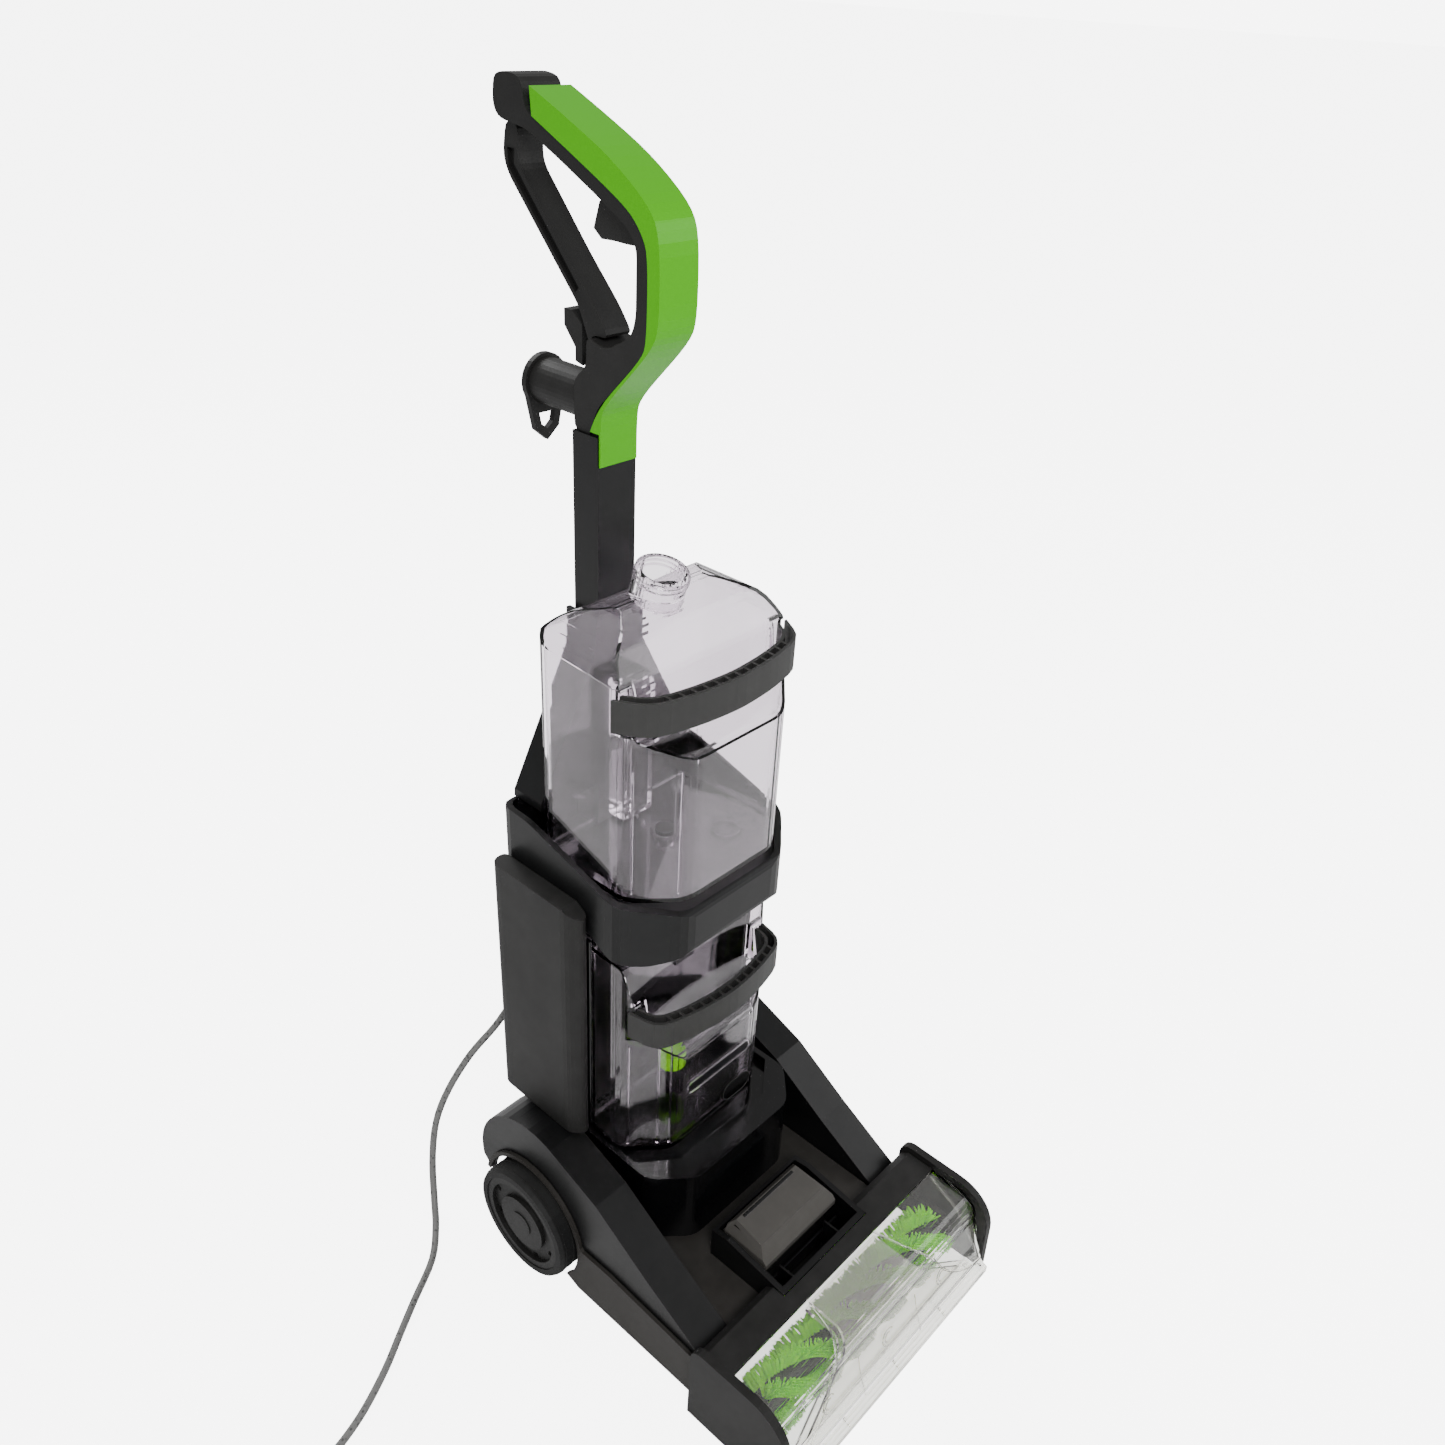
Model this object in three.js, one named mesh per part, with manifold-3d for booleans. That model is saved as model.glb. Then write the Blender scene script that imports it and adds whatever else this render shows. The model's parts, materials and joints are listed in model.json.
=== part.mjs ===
// Upright carpet cleaner: a wheeled foot with a driven brush under a clear nozzle, and a reclining upright
// that carries a dirty-water tank, a clean-water tank and a loop handle with its spray trigger.
// Millimetres, +Z up, front of the machine towards -Y. The origin is under the middle of the machine.
import * as THREE from "three";
import { mergeVertices } from "three/addons/utils/BufferGeometryUtils.js";
import Module from "manifold-3d";

const wasm = await Module();
wasm.setup();

// ---------------------------------------------------------------- driving dimensions
const AXLE_Y = 95; // the wheel axle, behind the origin
const GAP = 0.4; // clearance between touching pieces
const WHEEL = { r: 60, inner: 133, outer: 165, hub: 51, cap: 13 };
const PIVOT = { y: 0, z: 95 }; // recline axis, measured from the axle
const FOOT = { half: 146, capHalf: 160, rear: -222, front: -344, plateZ: 10, deckZ: 65 };
const FENDER = { inner: 108, r: 80, wall: 4 };
const BRUSH = { y: -283, z: 39, core: 13, tip: 30, half: 134, shaft: 4 };
const MOTOR = { y: -196, z: 36, r: 17 };
const BODY = { half: 122, inner: 104.4, rear: 76, low: 168, high: 432 };
const DRUM = { r: 62, half: 98 };
const TANK_PLAN = { front: -99, frontHalf: 54, chamferY: -62, half: 100, rearHalf: 92 };
const DIRTY = { low: 158, high: 385, back: -12, wall: 3 };
const CLEAN = { low: 458, high: 690, back: 38, wall: 3 };
const POLE = { half: 20, front: 44, rear: 72, wall: 3, top: 800 };
const HANDLE = { half: 18 };
const POST = { z: 822, r: 18, end: 124 };
const CORD = { r: 3.5, exitX: -50, exitZ: 236, sides: 8, lift: 4.8 };
const COIL = { x: -452, y: -100, inner: 38, outer: 66, low: 0.6, high: 28.6 };

// ---------------------------------------------------------------- materials
const plastic = (colour, roughness = 0.5, extra = {}) =>
  new THREE.MeshStandardMaterial({ color: colour, roughness, metalness: 0, ...extra });
const mat = {
  black: plastic(0x17171a, 0.45),
  charcoal: plastic(0x3b3938, 0.5),
  grey: plastic(0x6a6864, 0.5),
  green: plastic(0x55b41e, 0.25),
  clear: plastic(0xb9aeb6, 0.08, { transparent: true, opacity: 0.35 }),
  nozzle: plastic(0xcfc9b4, 0.08, { transparent: true, opacity: 0.3 }),
  handle: plastic(0x565654, 0.5),
  rubber: plastic(0x1b1b1c, 0.8),
  bristle: plastic(0x5ac91e, 0.7),
  steel: new THREE.MeshStandardMaterial({ color: 0xb5b5b5, roughness: 0.3, metalness: 1 }),
  cord: plastic(0x4b4b4a, 0.6),
};

// ---------------------------------------------------------------- solids
const solid = (geometry) => {
  const bare = new THREE.BufferGeometry();
  const flat = geometry.index ? geometry.toNonIndexed() : geometry;
  bare.setAttribute("position", flat.getAttribute("position").clone());
  const merged = mergeVertices(bare, 1e-4);
  return new wasm.Manifold(
    new wasm.Mesh({
      numProp: 3,
      vertProperties: merged.getAttribute("position").array,
      triVerts: new Uint32Array(merged.index.array),
    }),
  );
};
const geometryOf = (manifold) => {
  const mesh = manifold.getMesh();
  const positions = new Float32Array(mesh.numVert * 3);
  for (let i = 0; i < mesh.numVert; i++)
    positions.set(mesh.vertProperties.subarray(i * mesh.numProp, i * mesh.numProp + 3), i * 3);
  const geometry = new THREE.BufferGeometry();
  geometry.setAttribute("position", new THREE.BufferAttribute(positions, 3));
  geometry.setIndex(new THREE.BufferAttribute(mesh.triVerts, 1));
  return geometry;
};
const cut = (base, ...tools) =>
  geometryOf(tools.reduce((s, t) => s.subtract(solid(t)), solid(base)));
const join = (base, ...more) => geometryOf(more.reduce((s, t) => s.add(solid(t)), solid(base)));
const keep = (base, tool) => geometryOf(solid(base).intersect(solid(tool)));

const shapeOf = (points, holes = []) => {
  const shape = new THREE.Shape(points.map(([a, b]) => new THREE.Vector2(a, b)));
  for (const hole of holes)
    shape.holes.push(new THREE.Path(hole.map(([a, b]) => new THREE.Vector2(a, b))));
  return shape;
};
const basis = (x, y, z) =>
  new THREE.Matrix4().makeBasis(new THREE.Vector3(...x), new THREE.Vector3(...y), new THREE.Vector3(...z));
const extrude = (points, depth, holes) =>
  new THREE.ExtrudeGeometry(shapeOf(points, holes), { depth, bevelEnabled: false, steps: 1 });
// A (y, z) outline swept along x, an (x, y) outline along z, and an (x, z) outline along y.
const sideways = (points, x0, x1, holes) =>
  extrude(points, x1 - x0, holes)
    .applyMatrix4(basis([0, 1, 0], [0, 0, 1], [1, 0, 0]))
    .translate(x0, 0, 0);
const upwards = (points, z0, z1, holes) => extrude(points, z1 - z0, holes).translate(0, 0, z0);
const backwards = (points, y0, y1, holes) =>
  extrude(points, y1 - y0, holes)
    .applyMatrix4(basis([1, 0, 0], [0, 0, 1], [0, -1, 0]))
    .translate(0, y1, 0);
const box = (x0, x1, y0, y1, z0, z1) =>
  new THREE.BoxGeometry(x1 - x0, y1 - y0, z1 - z0).translate(
    (x0 + x1) / 2,
    (y0 + y1) / 2,
    (z0 + z1) / 2,
  );
const rodX = (r, x0, x1, y, z, sides = 24) =>
  new THREE.CylinderGeometry(r, r, x1 - x0, sides).rotateZ(-Math.PI / 2).translate((x0 + x1) / 2, y, z);
const rodY = (r, y0, y1, x, z, sides = 24) =>
  new THREE.CylinderGeometry(r, r, y1 - y0, sides).translate(x, (y0 + y1) / 2, z);
const rodZ = (r, z0, z1, x, y, sides = 24) =>
  new THREE.CylinderGeometry(r, r, z1 - z0, sides).rotateX(Math.PI / 2).translate(x, y, (z0 + z1) / 2);
const arc = (cx, cy, r, from, to, steps) =>
  Array.from({ length: steps + 1 }, (_, i) => {
    const t = THREE.MathUtils.degToRad(from + ((to - from) * i) / steps);
    return [cx + r * Math.cos(t), cy + r * Math.sin(t)];
  });
// The same outline with each corner turned into a short curve that starts a radius away.
const rounded = (points, radius, steps = 4) =>
  points.flatMap((point, i) => {
    const here = new THREE.Vector2(...point);
    const before = new THREE.Vector2(...points[(i + points.length - 1) % points.length]).sub(here);
    const after = new THREE.Vector2(...points[(i + 1) % points.length]).sub(here);
    const from = before.clone().setLength(Math.min(radius, before.length() * 0.46)).add(here);
    const to = after.clone().setLength(Math.min(radius, after.length() * 0.46)).add(here);
    const bend = new THREE.QuadraticBezierCurve(from, here, to);
    return bend.getPoints(steps).map((p) => [p.x, p.y]);
  });
const mirrorX = (geometry) => {
  const copy = geometry.index ? geometry.toNonIndexed() : geometry.clone();
  copy.applyMatrix4(new THREE.Matrix4().makeScale(-1, 1, 1));
  const p = copy.getAttribute("position");
  for (let i = 0; i < p.count; i += 3)
    for (let k = 0; k < 3; k++) {
      const a = p.array[(i + 1) * 3 + k];
      p.array[(i + 1) * 3 + k] = p.array[(i + 2) * 3 + k];
      p.array[(i + 2) * 3 + k] = a;
    }
  return copy;
};

const cleaner = new THREE.Group();
cleaner.position.y = AXLE_Y;
const foot = new THREE.Group();
const upright = new THREE.Group();
cleaner.add(foot, upright);
const add = (group, name, geometry, material) => {
  const mesh = new THREE.Mesh(geometry, material);
  mesh.name = name;
  group.add(mesh);
};
const addPair = (group, name, left, material) => {
  add(group, `left_${name}`, left, material);
  add(group, `right_${name}`, mirrorX(left), material);
};

// ---------------------------------------------------------------- foot: pan, skirts and fenders
const pan = join(
  box(-FOOT.half + 8, FOOT.half - 8, FOOT.rear, -70, FOOT.plateZ, FOOT.plateZ + 4),
  box(-104, 104, -72, 40, FOOT.plateZ, FOOT.plateZ + 4),
  box(-104, -101, -72, 40, FOOT.plateZ, 110),
  box(101, 104, -72, 40, FOOT.plateZ, 110),
);
const pivotHoles = [
  rodX(7.6, -120, -90, PIVOT.y, PIVOT.z),
  rodX(7.6, 90, 120, PIVOT.y, PIVOT.z),
  rodX(4.4, -120, 120, 0, WHEEL.r),
];
add(foot, "base_pan", cut(pan, ...pivotHoles), mat.charcoal);

const fenderTop = [
  ...arc(PIVOT.y, PIVOT.z, FENDER.r, -10, 108, 16),
  [-87, 148],
  [-152, 107],
  [FOOT.rear, 67],
];
const fenderOuter = [...fenderTop, [FOOT.rear, 44], [-90, 56], [-66, 66], [60, 66], [72, 74]];
const lowered = (points, by) => points.map(([y, z]) => [y, z - by]);
const fenderBlock = sideways(fenderOuter, -FOOT.half, -FENDER.inner);
const fenderRoom = sideways(
  [
    ...arc(PIVOT.y, PIVOT.z, FENDER.r - FENDER.wall, -30, 108, 16),
    ...lowered([[-86, 148], [-151, 107], [FOOT.rear + FENDER.wall, 67]], FENDER.wall + 1),
    [FOOT.rear + FENDER.wall, 20],
    [60, 20],
  ],
  -FOOT.half + FENDER.wall,
  -FENDER.inner - FENDER.wall,
);
const wheelRoom = rodX(WHEEL.r + 5, -180, -WHEEL.inner + 5, 0, WHEEL.r, 40);
const fender = cut(fenderBlock, fenderRoom, wheelRoom, rodX(7.6, -150, -90, PIVOT.y, PIVOT.z));
const beltSlot = box(132, 145.6, -232, -210, 18, 58);
add(foot, "left_fender", fender, mat.black);
add(foot, "right_fender", cut(mirrorX(fender), beltSlot), mat.black);
const skirtOutline = [
  [FOOT.rear, FOOT.plateZ],
  [-66, FOOT.plateZ],
  ...arc(0, WHEEL.r, WHEEL.r + 5.5, 222, 12, 22),
  ...arc(0, WHEEL.r, WHEEL.r + 10, 12, 170, 16).map(([y, z]) => [y, Math.max(z, 0)]),
  [-72, 70],
  [-110, 71],
  [FOOT.rear, 62],
];
const belowSkirt = box(-200, 0, -300, 300, -50, FOOT.plateZ);
const skirt = cut(sideways(skirtOutline, -FOOT.half - 4, -FOOT.half - GAP), belowSkirt);
addPair(foot, "skirt", skirt, mat.charcoal);

// ---------------------------------------------------------------- foot: deck, duct frame and hose door
const deck = join(
  box(-107, 107, FOOT.rear, -78, FOOT.deckZ - 4, FOOT.deckZ),
  box(-107, -104.4, FOOT.rear, -78, MOTOR.z + 10, FOOT.deckZ - 3),
  box(104.4, 107, FOOT.rear, -78, MOTOR.z + 10, FOOT.deckZ - 3),
);
const ductWell = box(-62, 62, FOOT.rear - 10, -156, 30, 120);
add(foot, "deck_cover", cut(deck, ductWell), mat.charcoal);
const frameSide = [
  [-156.4, 58],
  [-156.4, 98],
  [-175, 101],
  [-246, 90],
  [-246, 70],
  [FOOT.rear + 1, 40],
];
const frameOuter = sideways(frameSide, -61.6, 61.6);
const frameRoom = join(
  box(-56, 56, -240, -160, 46, 130),
  box(-56, 56, -240, -200, 30, 130),
);
const frameFloor = box(-57, 57, -240, -160, 44, 48);
add(
  foot,
  "duct_frame",
  join(cut(frameOuter, frameRoom), frameFloor, box(-57, 57, -203, -200.4, 46, 76)),
  mat.black,
);
const doorSide = [
  [-164, 92],
  [-164, 103],
  [-170, 110],
  [-204, 106],
  [-216, 92],
  [-216, 86],
];
const doorBlock = sideways(doorSide, -52, 52);
const doorBevels = [
  backwards([[-53, 113], [-53, 95], [-42, 113]], -230, -150),
  backwards([[53, 113], [42, 113], [53, 95]], -230, -150),
];
const doorRoom = sideways(
  [
    [-167, 80],
    [-167, 101],
    [-171, 106],
    [-202, 102],
    [-212, 91],
    [-213, 80],
  ],
  -47,
  47,
);
add(
  foot,
  "hose_door",
  join(cut(doorBlock, ...doorBevels, doorRoom), rodX(2.5, -51, 51, -164, 94, 12)),
  mat.grey,
);
add(
  foot,
  "hose_port",
  cut(
    join(rodZ(17, 48.4, 72, 0, -181, 28), rodZ(18.6, 48.4, 52, 0, -181, 28)),
    rodZ(13.5, 40, 90, 0, -181, 28),
  ),
  mat.charcoal,
);

// ---------------------------------------------------------------- foot: brush housing and clear nozzle
const hoodTop = [
  [FOOT.rear - GAP, 68],
  [-226, 84],
  [-234, 90],
  [-263, 90],
];
const hoodUnder = [
  [-263, 86.6],
  [-236, 86.6],
  [-229.6, 80],
  [-226, 68],
  [-226, 12],
  [FOOT.rear - GAP, 12],
];
const hoodOutline = [...hoodTop, ...hoodUnder];
const hoodBlock = sideways(hoodOutline, -151.4, 151.4);
add(
  foot,
  "brush_hood",
  cut(hoodBlock, box(-62.2, 62.2, -247, -200, 36, 120), beltSlot),
  mat.charcoal,
);
const capOutline = [
  [-223, 0],
  ...arc(-236, 84, 13, 0, 90, 4),
  ...arc(-292, 55, 42, 90, 180, 9),
  [-336, 4],
  [-334, 0],
];
const capBlock = sideways(capOutline, -FOOT.capHalf, -152);
const shaftSocket = rodX(BRUSH.shaft + 0.6, -155, -150, BRUSH.y, BRUSH.z, 20);
addPair(foot, "end_cap", cut(capBlock, shaftSocket), mat.charcoal);
const nozzleOuter = [
  [-264, 90],
  [-290, 90],
  ...arc(-296, 66, 24, 90, 180, 8),
  [-328, 36],
  [-336, 16],
  [-344, 12],
  [-344, 4],
];
const nozzleInner = [
  [-331, 4],
  [-331, 14],
  [-325, 36],
  [-317, 66],
  ...arc(-296, 66, 21, 180, 90, 8),
  [-290, 87],
  [-264, 87],
];
const nozzleShell = sideways([...nozzleOuter, ...nozzleInner], -151, 151);
const nozzleEndOutline = [
  [-264, 90],
  [-290, 90],
  ...arc(-296, 66, 24, 90, 180, 8),
  [-328, 36],
  [-333, 14],
  [-300, 60],
  [-264, 80],
];
const nozzleEnd = sideways(nozzleEndOutline, -151, -148);
add(foot, "nozzle_window", join(nozzleShell, nozzleEnd, mirrorX(nozzleEnd)), mat.nozzle);
// the flat duct between the nozzle and the brush: one skin behind the nozzle and one over the brush
const ductOutline = (inset) => [
  [-266 + 2 * inset, 86.6 - inset],
  [-290, 86.6 - inset],
  ...arc(-296, 66, 20.6 - inset, 90, 180, 6),
  [-324.6 + inset, 36],
  [-330.6 + inset, 14],
  [-330.6 + inset, 6 - 3 * inset],
  [-322 - inset, 6 - 3 * inset],
  [-322 - inset, 13],
  [-316 - inset, 36],
  [-309 - inset, 66],
  ...arc(-296, 66, 13 + inset, 180, 90, 6),
  [-290, 79 + inset],
  [-266 + 2 * inset, 79 + inset],
];
const DUCT = { half: 140, wall: 2 };
const ductShell = sideways(ductOutline(0), -DUCT.half, DUCT.half);
const ductRoom = sideways(ductOutline(DUCT.wall), -DUCT.half + 3, DUCT.half - 3);
const ductFan = [
  [-46, 90],
  [46, 90],
  [60, 72],
  [DUCT.half, 14],
  [DUCT.half, 2],
  [-DUCT.half, 2],
  [-DUCT.half, 14],
  [-60, 72],
];
add(
  foot,
  "suction_duct",
  keep(cut(ductShell, ductRoom), backwards(ductFan, -340, -260)),
  mat.nozzle,
);

// ---------------------------------------------------------------- foot: brush, drive and axle
const brushBody = new THREE.Group();
cleaner.add(brushBody);
const TUFT = { rows: 4, turns: 1.25, steps: 24, width: 7 };
const tuftRow = (phase) => {
  const section = [
    [-TUFT.width / 2, BRUSH.core - 2],
    [TUFT.width / 2, BRUSH.core - 2],
    [TUFT.width / 2 - 1, BRUSH.tip],
    [-TUFT.width / 2 + 1, BRUSH.tip],
  ];
  const positions = [];
  const ring = (i) => {
    const t = i / TUFT.steps;
    const x = -BRUSH.half + 6 + t * (2 * BRUSH.half - 12);
    const turn = phase + t * 2 * Math.PI * TUFT.turns;
    return section.map(([w, r]) => {
      const a = turn + w / r;
      return [x, BRUSH.y + r * Math.cos(a), BRUSH.z + r * Math.sin(a)];
    });
  };
  const quad = (a, b, c, d) => positions.push(...a, ...b, ...c, ...a, ...c, ...d);
  for (let i = 0; i < TUFT.steps; i++) {
    const p = ring(i);
    const q = ring(i + 1);
    for (let k = 0; k < 4; k++) quad(p[k], q[k], q[(k + 1) % 4], p[(k + 1) % 4]);
  }
  const first = ring(0);
  const last = ring(TUFT.steps);
  quad(first[0], first[1], first[2], first[3]);
  quad(last[3], last[2], last[1], last[0]);
  const geometry = new THREE.BufferGeometry();
  geometry.setAttribute("position", new THREE.BufferAttribute(new Float32Array(positions), 3));
  return geometry;
};
const facingOut = (geometry) => {
  if (solid(geometry).volume() >= 0) return geometry;
  return mirrorX(geometry).applyMatrix4(new THREE.Matrix4().makeScale(-1, 1, 1));
};
const core = rodX(BRUSH.core, -BRUSH.half, BRUSH.half, BRUSH.y, BRUSH.z, 28);
const tufts = Array.from({ length: TUFT.rows }, (_, k) =>
  facingOut(tuftRow((2 * Math.PI * k) / TUFT.rows)),
);
const journal = rodX(BRUSH.shaft, -152, 152, BRUSH.y, BRUSH.z, 20);
add(brushBody, "brush_roll", join(core, journal, ...tufts), mat.bristle);
const brushPulley = rodX(15, 135, 143, BRUSH.y, BRUSH.z, 28);
const pulleyBore = rodX(BRUSH.shaft + 0.3, 130, 150, BRUSH.y, BRUSH.z);
add(brushBody, "brush_pulley", cut(brushPulley, pulleyBore), mat.black);
const beltRun = (grow) => {
  const dy = MOTOR.y - BRUSH.y;
  const dz = MOTOR.z - BRUSH.z;
  const lean = THREE.MathUtils.radToDeg(Math.atan2(dz, dy));
  return [
    ...arc(BRUSH.y, BRUSH.z, 15.4 + grow, lean + 97, lean + 263, 12),
    ...arc(MOTOR.y, MOTOR.z, 6.4 + grow, lean - 83, lean + 83, 8),
  ];
};
add(foot, "drive_belt", sideways(beltRun(2), 136, 142, [beltRun(0).reverse()]), mat.rubber);
add(foot, "brush_motor", rodX(MOTOR.r, 63, 100, MOTOR.y, MOTOR.z, 28), mat.steel);
add(
  cleaner,
  "motor_pulley",
  join(rodX(6, 134, 143, MOTOR.y, MOTOR.z, 20), rodX(3, 100.6, 135, MOTOR.y, MOTOR.z, 14)),
  mat.steel,
);
addPair(foot, "wheel_axle", rodX(4, -154, -98.6, 0, WHEEL.r, 20), mat.steel);
add(
  foot,
  "spray_bar",
  join(
    rodX(3.5, -120, 120, -256, 80, 16),
    ...[-90, -30, 30, 90].map((x) => rodZ(3, 72, 80, x, -256, 12)),
  ),
  mat.black,
);

// ---------------------------------------------------------------- wheels
const tyreProfile = [
  [WHEEL.hub + 0.3, -16],
  [WHEEL.r - 2, -16],
  [WHEEL.r, -12],
  [WHEEL.r, 12],
  [WHEEL.r - 2, 16],
  [WHEEL.hub + 0.3, 16],
  [WHEEL.hub + 0.3, -16],
];
const lathe = (points, sides) =>
  new THREE.LatheGeometry(points.map(([r, h]) => new THREE.Vector2(r, h)), sides);
const tyre = facingOut(
  lathe(tyreProfile, 40).rotateZ(Math.PI / 2).translate(-(WHEEL.inner + WHEEL.outer) / 2, 0, WHEEL.r),
);
const hubDisc = rodX(WHEEL.hub, -WHEEL.outer + 1, -WHEEL.inner, 0, WHEEL.r, 40);
const hubRecess = rodX(WHEEL.hub - 7, -WHEEL.outer, -WHEEL.outer + 5, 0, WHEEL.r, 40);
const hubBoss = rodX(30, -WHEEL.outer + 1, -WHEEL.outer + 7, 0, WHEEL.r, 32);
const hubSlots = Array.from({ length: 8 }, (_, k) => {
  const a = (2 * Math.PI * (k + 0.5)) / 8;
  return box(-WHEEL.outer - 1, -WHEEL.inner - 8, -3.5, 3.5, 38, 44)
    .rotateX(a)
    .translate(0, 0, WHEEL.r);
});
const hubCap = rodX(WHEEL.cap, -WHEEL.outer, -WHEEL.outer + 8, 0, WHEEL.r, 28);
const hubBore = rodX(4.4, -155, 0, 0, WHEEL.r);
const hub = cut(join(cut(hubDisc, hubRecess), hubBoss, hubCap), ...hubSlots, hubBore);
const wheelGroup = new THREE.Group();
cleaner.add(wheelGroup);
addPair(wheelGroup, "tyre", tyre, mat.rubber);
addPair(wheelGroup, "wheel_hub", hub, mat.charcoal);

// ---------------------------------------------------------------- upright: drum, seat and shells
const seatFloor = 74;
const seatPlan = (grow, rear) => [
  [-64 - grow, -137 - grow],
  [64 + grow, -137 - grow],
  [98, -104],
  [98, rear],
  [-98, rear],
  [-98, -104],
];
const seatBlock = keep(
  upwards(rounded(seatPlan(0, 76), 10, 3), seatFloor, DIRTY.low - GAP),
  sideways([[80, 60], [80, 220], [-200, 220], [-140, 150], [-150, 74], [-150, 60]], -120, 120),
);
const drum = rodX(DRUM.r, -DRUM.half, DRUM.half, PIVOT.y, PIVOT.z, 48);
const seatRoom = box(-92, 92, -62, 60, 70, 152);
const seatWell = upwards(
  [[-56, -112], [56, -112], [92, -84], [92, -30], [-92, -30], [-92, -84]],
  DIRTY.low - 10,
  DIRTY.low + 5,
);
const drumRoom = rodX(DRUM.r - 4, -94, 94, PIVOT.y, PIVOT.z, 40);
const pinHole = rodX(7.6, -120, 120, PIVOT.y, PIVOT.z);
const pedestal = cut(join(seatBlock, drum), seatRoom, drumRoom, seatWell, pinHole);
const pedestalLid = box(-93, 93, -64, 70, DIRTY.low - 6, DIRTY.low - GAP);
add(upright, "tank_seat", join(pedestal, pedestalLid), mat.black);
const pin = join(rodX(7, -118, -88, PIVOT.y, PIVOT.z), rodX(12, -93, -87, PIVOT.y, PIVOT.z));
addPair(upright, "pivot_pin", pin, mat.steel);

const pillarPlan = [
  [-BODY.half, -26],
  [-BODY.half, 66],
  [-116, 72],
  [-BODY.inner, 72],
  [-BODY.inner, -34],
  [-112, -36],
];
const pillarSide = [
  [90, 170],
  [90, BODY.high + 10],
  [-20, BODY.high + 10],
  [-60, BODY.high - 12],
  [-60, 170],
];
const pillar = keep(
  upwards(rounded(pillarPlan, 7, 3), BODY.low + 8, BODY.high + 20),
  sideways(pillarSide, -150, 0),
);
const pillarRoom = box(-BODY.half + 3, -BODY.inner + 10, -22, 60, 170, BODY.high - 22);
addPair(upright, "pillar", cut(pillar, pillarRoom), mat.charcoal);
const rearShell = cut(
  box(-BODY.inner + GAP, BODY.inner - GAP, 0, BODY.rear, DIRTY.low, BODY.high),
  box(-96, 96, 4, BODY.rear - 3, DIRTY.low + 4, BODY.high - 4),
  rodY(5.6, 60, 90, CORD.exitX, CORD.exitZ, 20),
  box(44, 66, 60, 90, 388, 402),
  ...Array.from({ length: 7 }, (_, k) => box(-40, 40, 60, 90, 210 + 9 * k, 214 + 9 * k)),
);
add(upright, "rear_housing", rearShell, mat.black);

// the shelf ring under the clean tank, whose front is the carry handle
const shelfPlan = [
  [-60, -104],
  [60, -104],
  [104, -66],
  [104, 76],
  [-104, 76],
  [-104, -66],
];
const shelfSide = [
  [80, BODY.high + GAP],
  [80, 492],
  [40, 490],
  [-104, 448],
  [-104, 404],
  [-84, 396],
  [-60, 400],
  [-2, BODY.high + GAP],
];
const shelfBlock = keep(
  upwards(rounded(shelfPlan, 12, 3), 380, 500),
  sideways(rounded(shelfSide, 6, 3), -120, 120),
);
const shelfInner = [
  [-56, -99.6],
  [56, -99.6],
  [98.6, -61],
  [98.6, 72.4],
  [-98.6, 72.4],
  [-98.6, -61],
];
const shelfTray = upwards(rounded(shelfInner, 10, 3), CLEAN.low - 14, 520);
const underPlan = [
  [-51, -92],
  [51, -92],
  [92, -59],
  [92, -6],
  [-92, -6],
  [-92, -59],
];
const shelfUnder = upwards(rounded(underPlan, 8, 2), 380, 437);
const valveHole = rodZ(8, 400, 470, 0, -20);
add(upright, "carry_shelf", cut(shelfBlock, shelfTray, shelfUnder, valveHole), mat.black);

const spineFace = [
  [-92, 448],
  [92, 448],
  [88, 500],
  [26, 620],
  [26, 652],
  [-26, 652],
  [-26, 620],
  [-88, 500],
];
const spineRoom = [
  [-84, 440],
  [84, 440],
  [80, 496],
  [18, 610],
  [-18, 610],
  [-80, 496],
];
const spineBlock = backwards(spineFace, 41, 76);
const poleRoom = box(-22, 22, 43.4, 90, 440, 670);
const shelfRoom = box(-120, 120, 38, 90, 430, 493);
const spine = cut(spineBlock, poleRoom, backwards(spineRoom, 45, 90), shelfRoom);
add(upright, "spine_cover", spine, mat.black);

// ---------------------------------------------------------------- upright: pole and handle
const poleOuter = box(-POLE.half, POLE.half, POLE.front, POLE.rear, 444.6, POLE.top);
const poleBore = box(-17, 17, POLE.front + 3, POLE.rear - 3, 440, POLE.top + 5);
add(upright, "pole", cut(poleOuter, poleBore), mat.black);

const COVER_FOOT = 768;
const handleFront = [
  [42, COVER_FOOT],
  [42, 810],
  [39, 824],
  [-10, 876],
  [-17, 892],
  [-16, 950],
  [-6, 968],
  [32, 993],
  [80, 1014],
  [122, 1031],
];
const handleBack = [
  [60, COVER_FOOT],
  [60, 786],
  [46, 821],
  [0, 868],
  [-5, 880],
  [-5, 938],
  [2, 951],
  [14, 963],
  [44, 978],
  [85, 997],
  [118, 1012],
];
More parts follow.
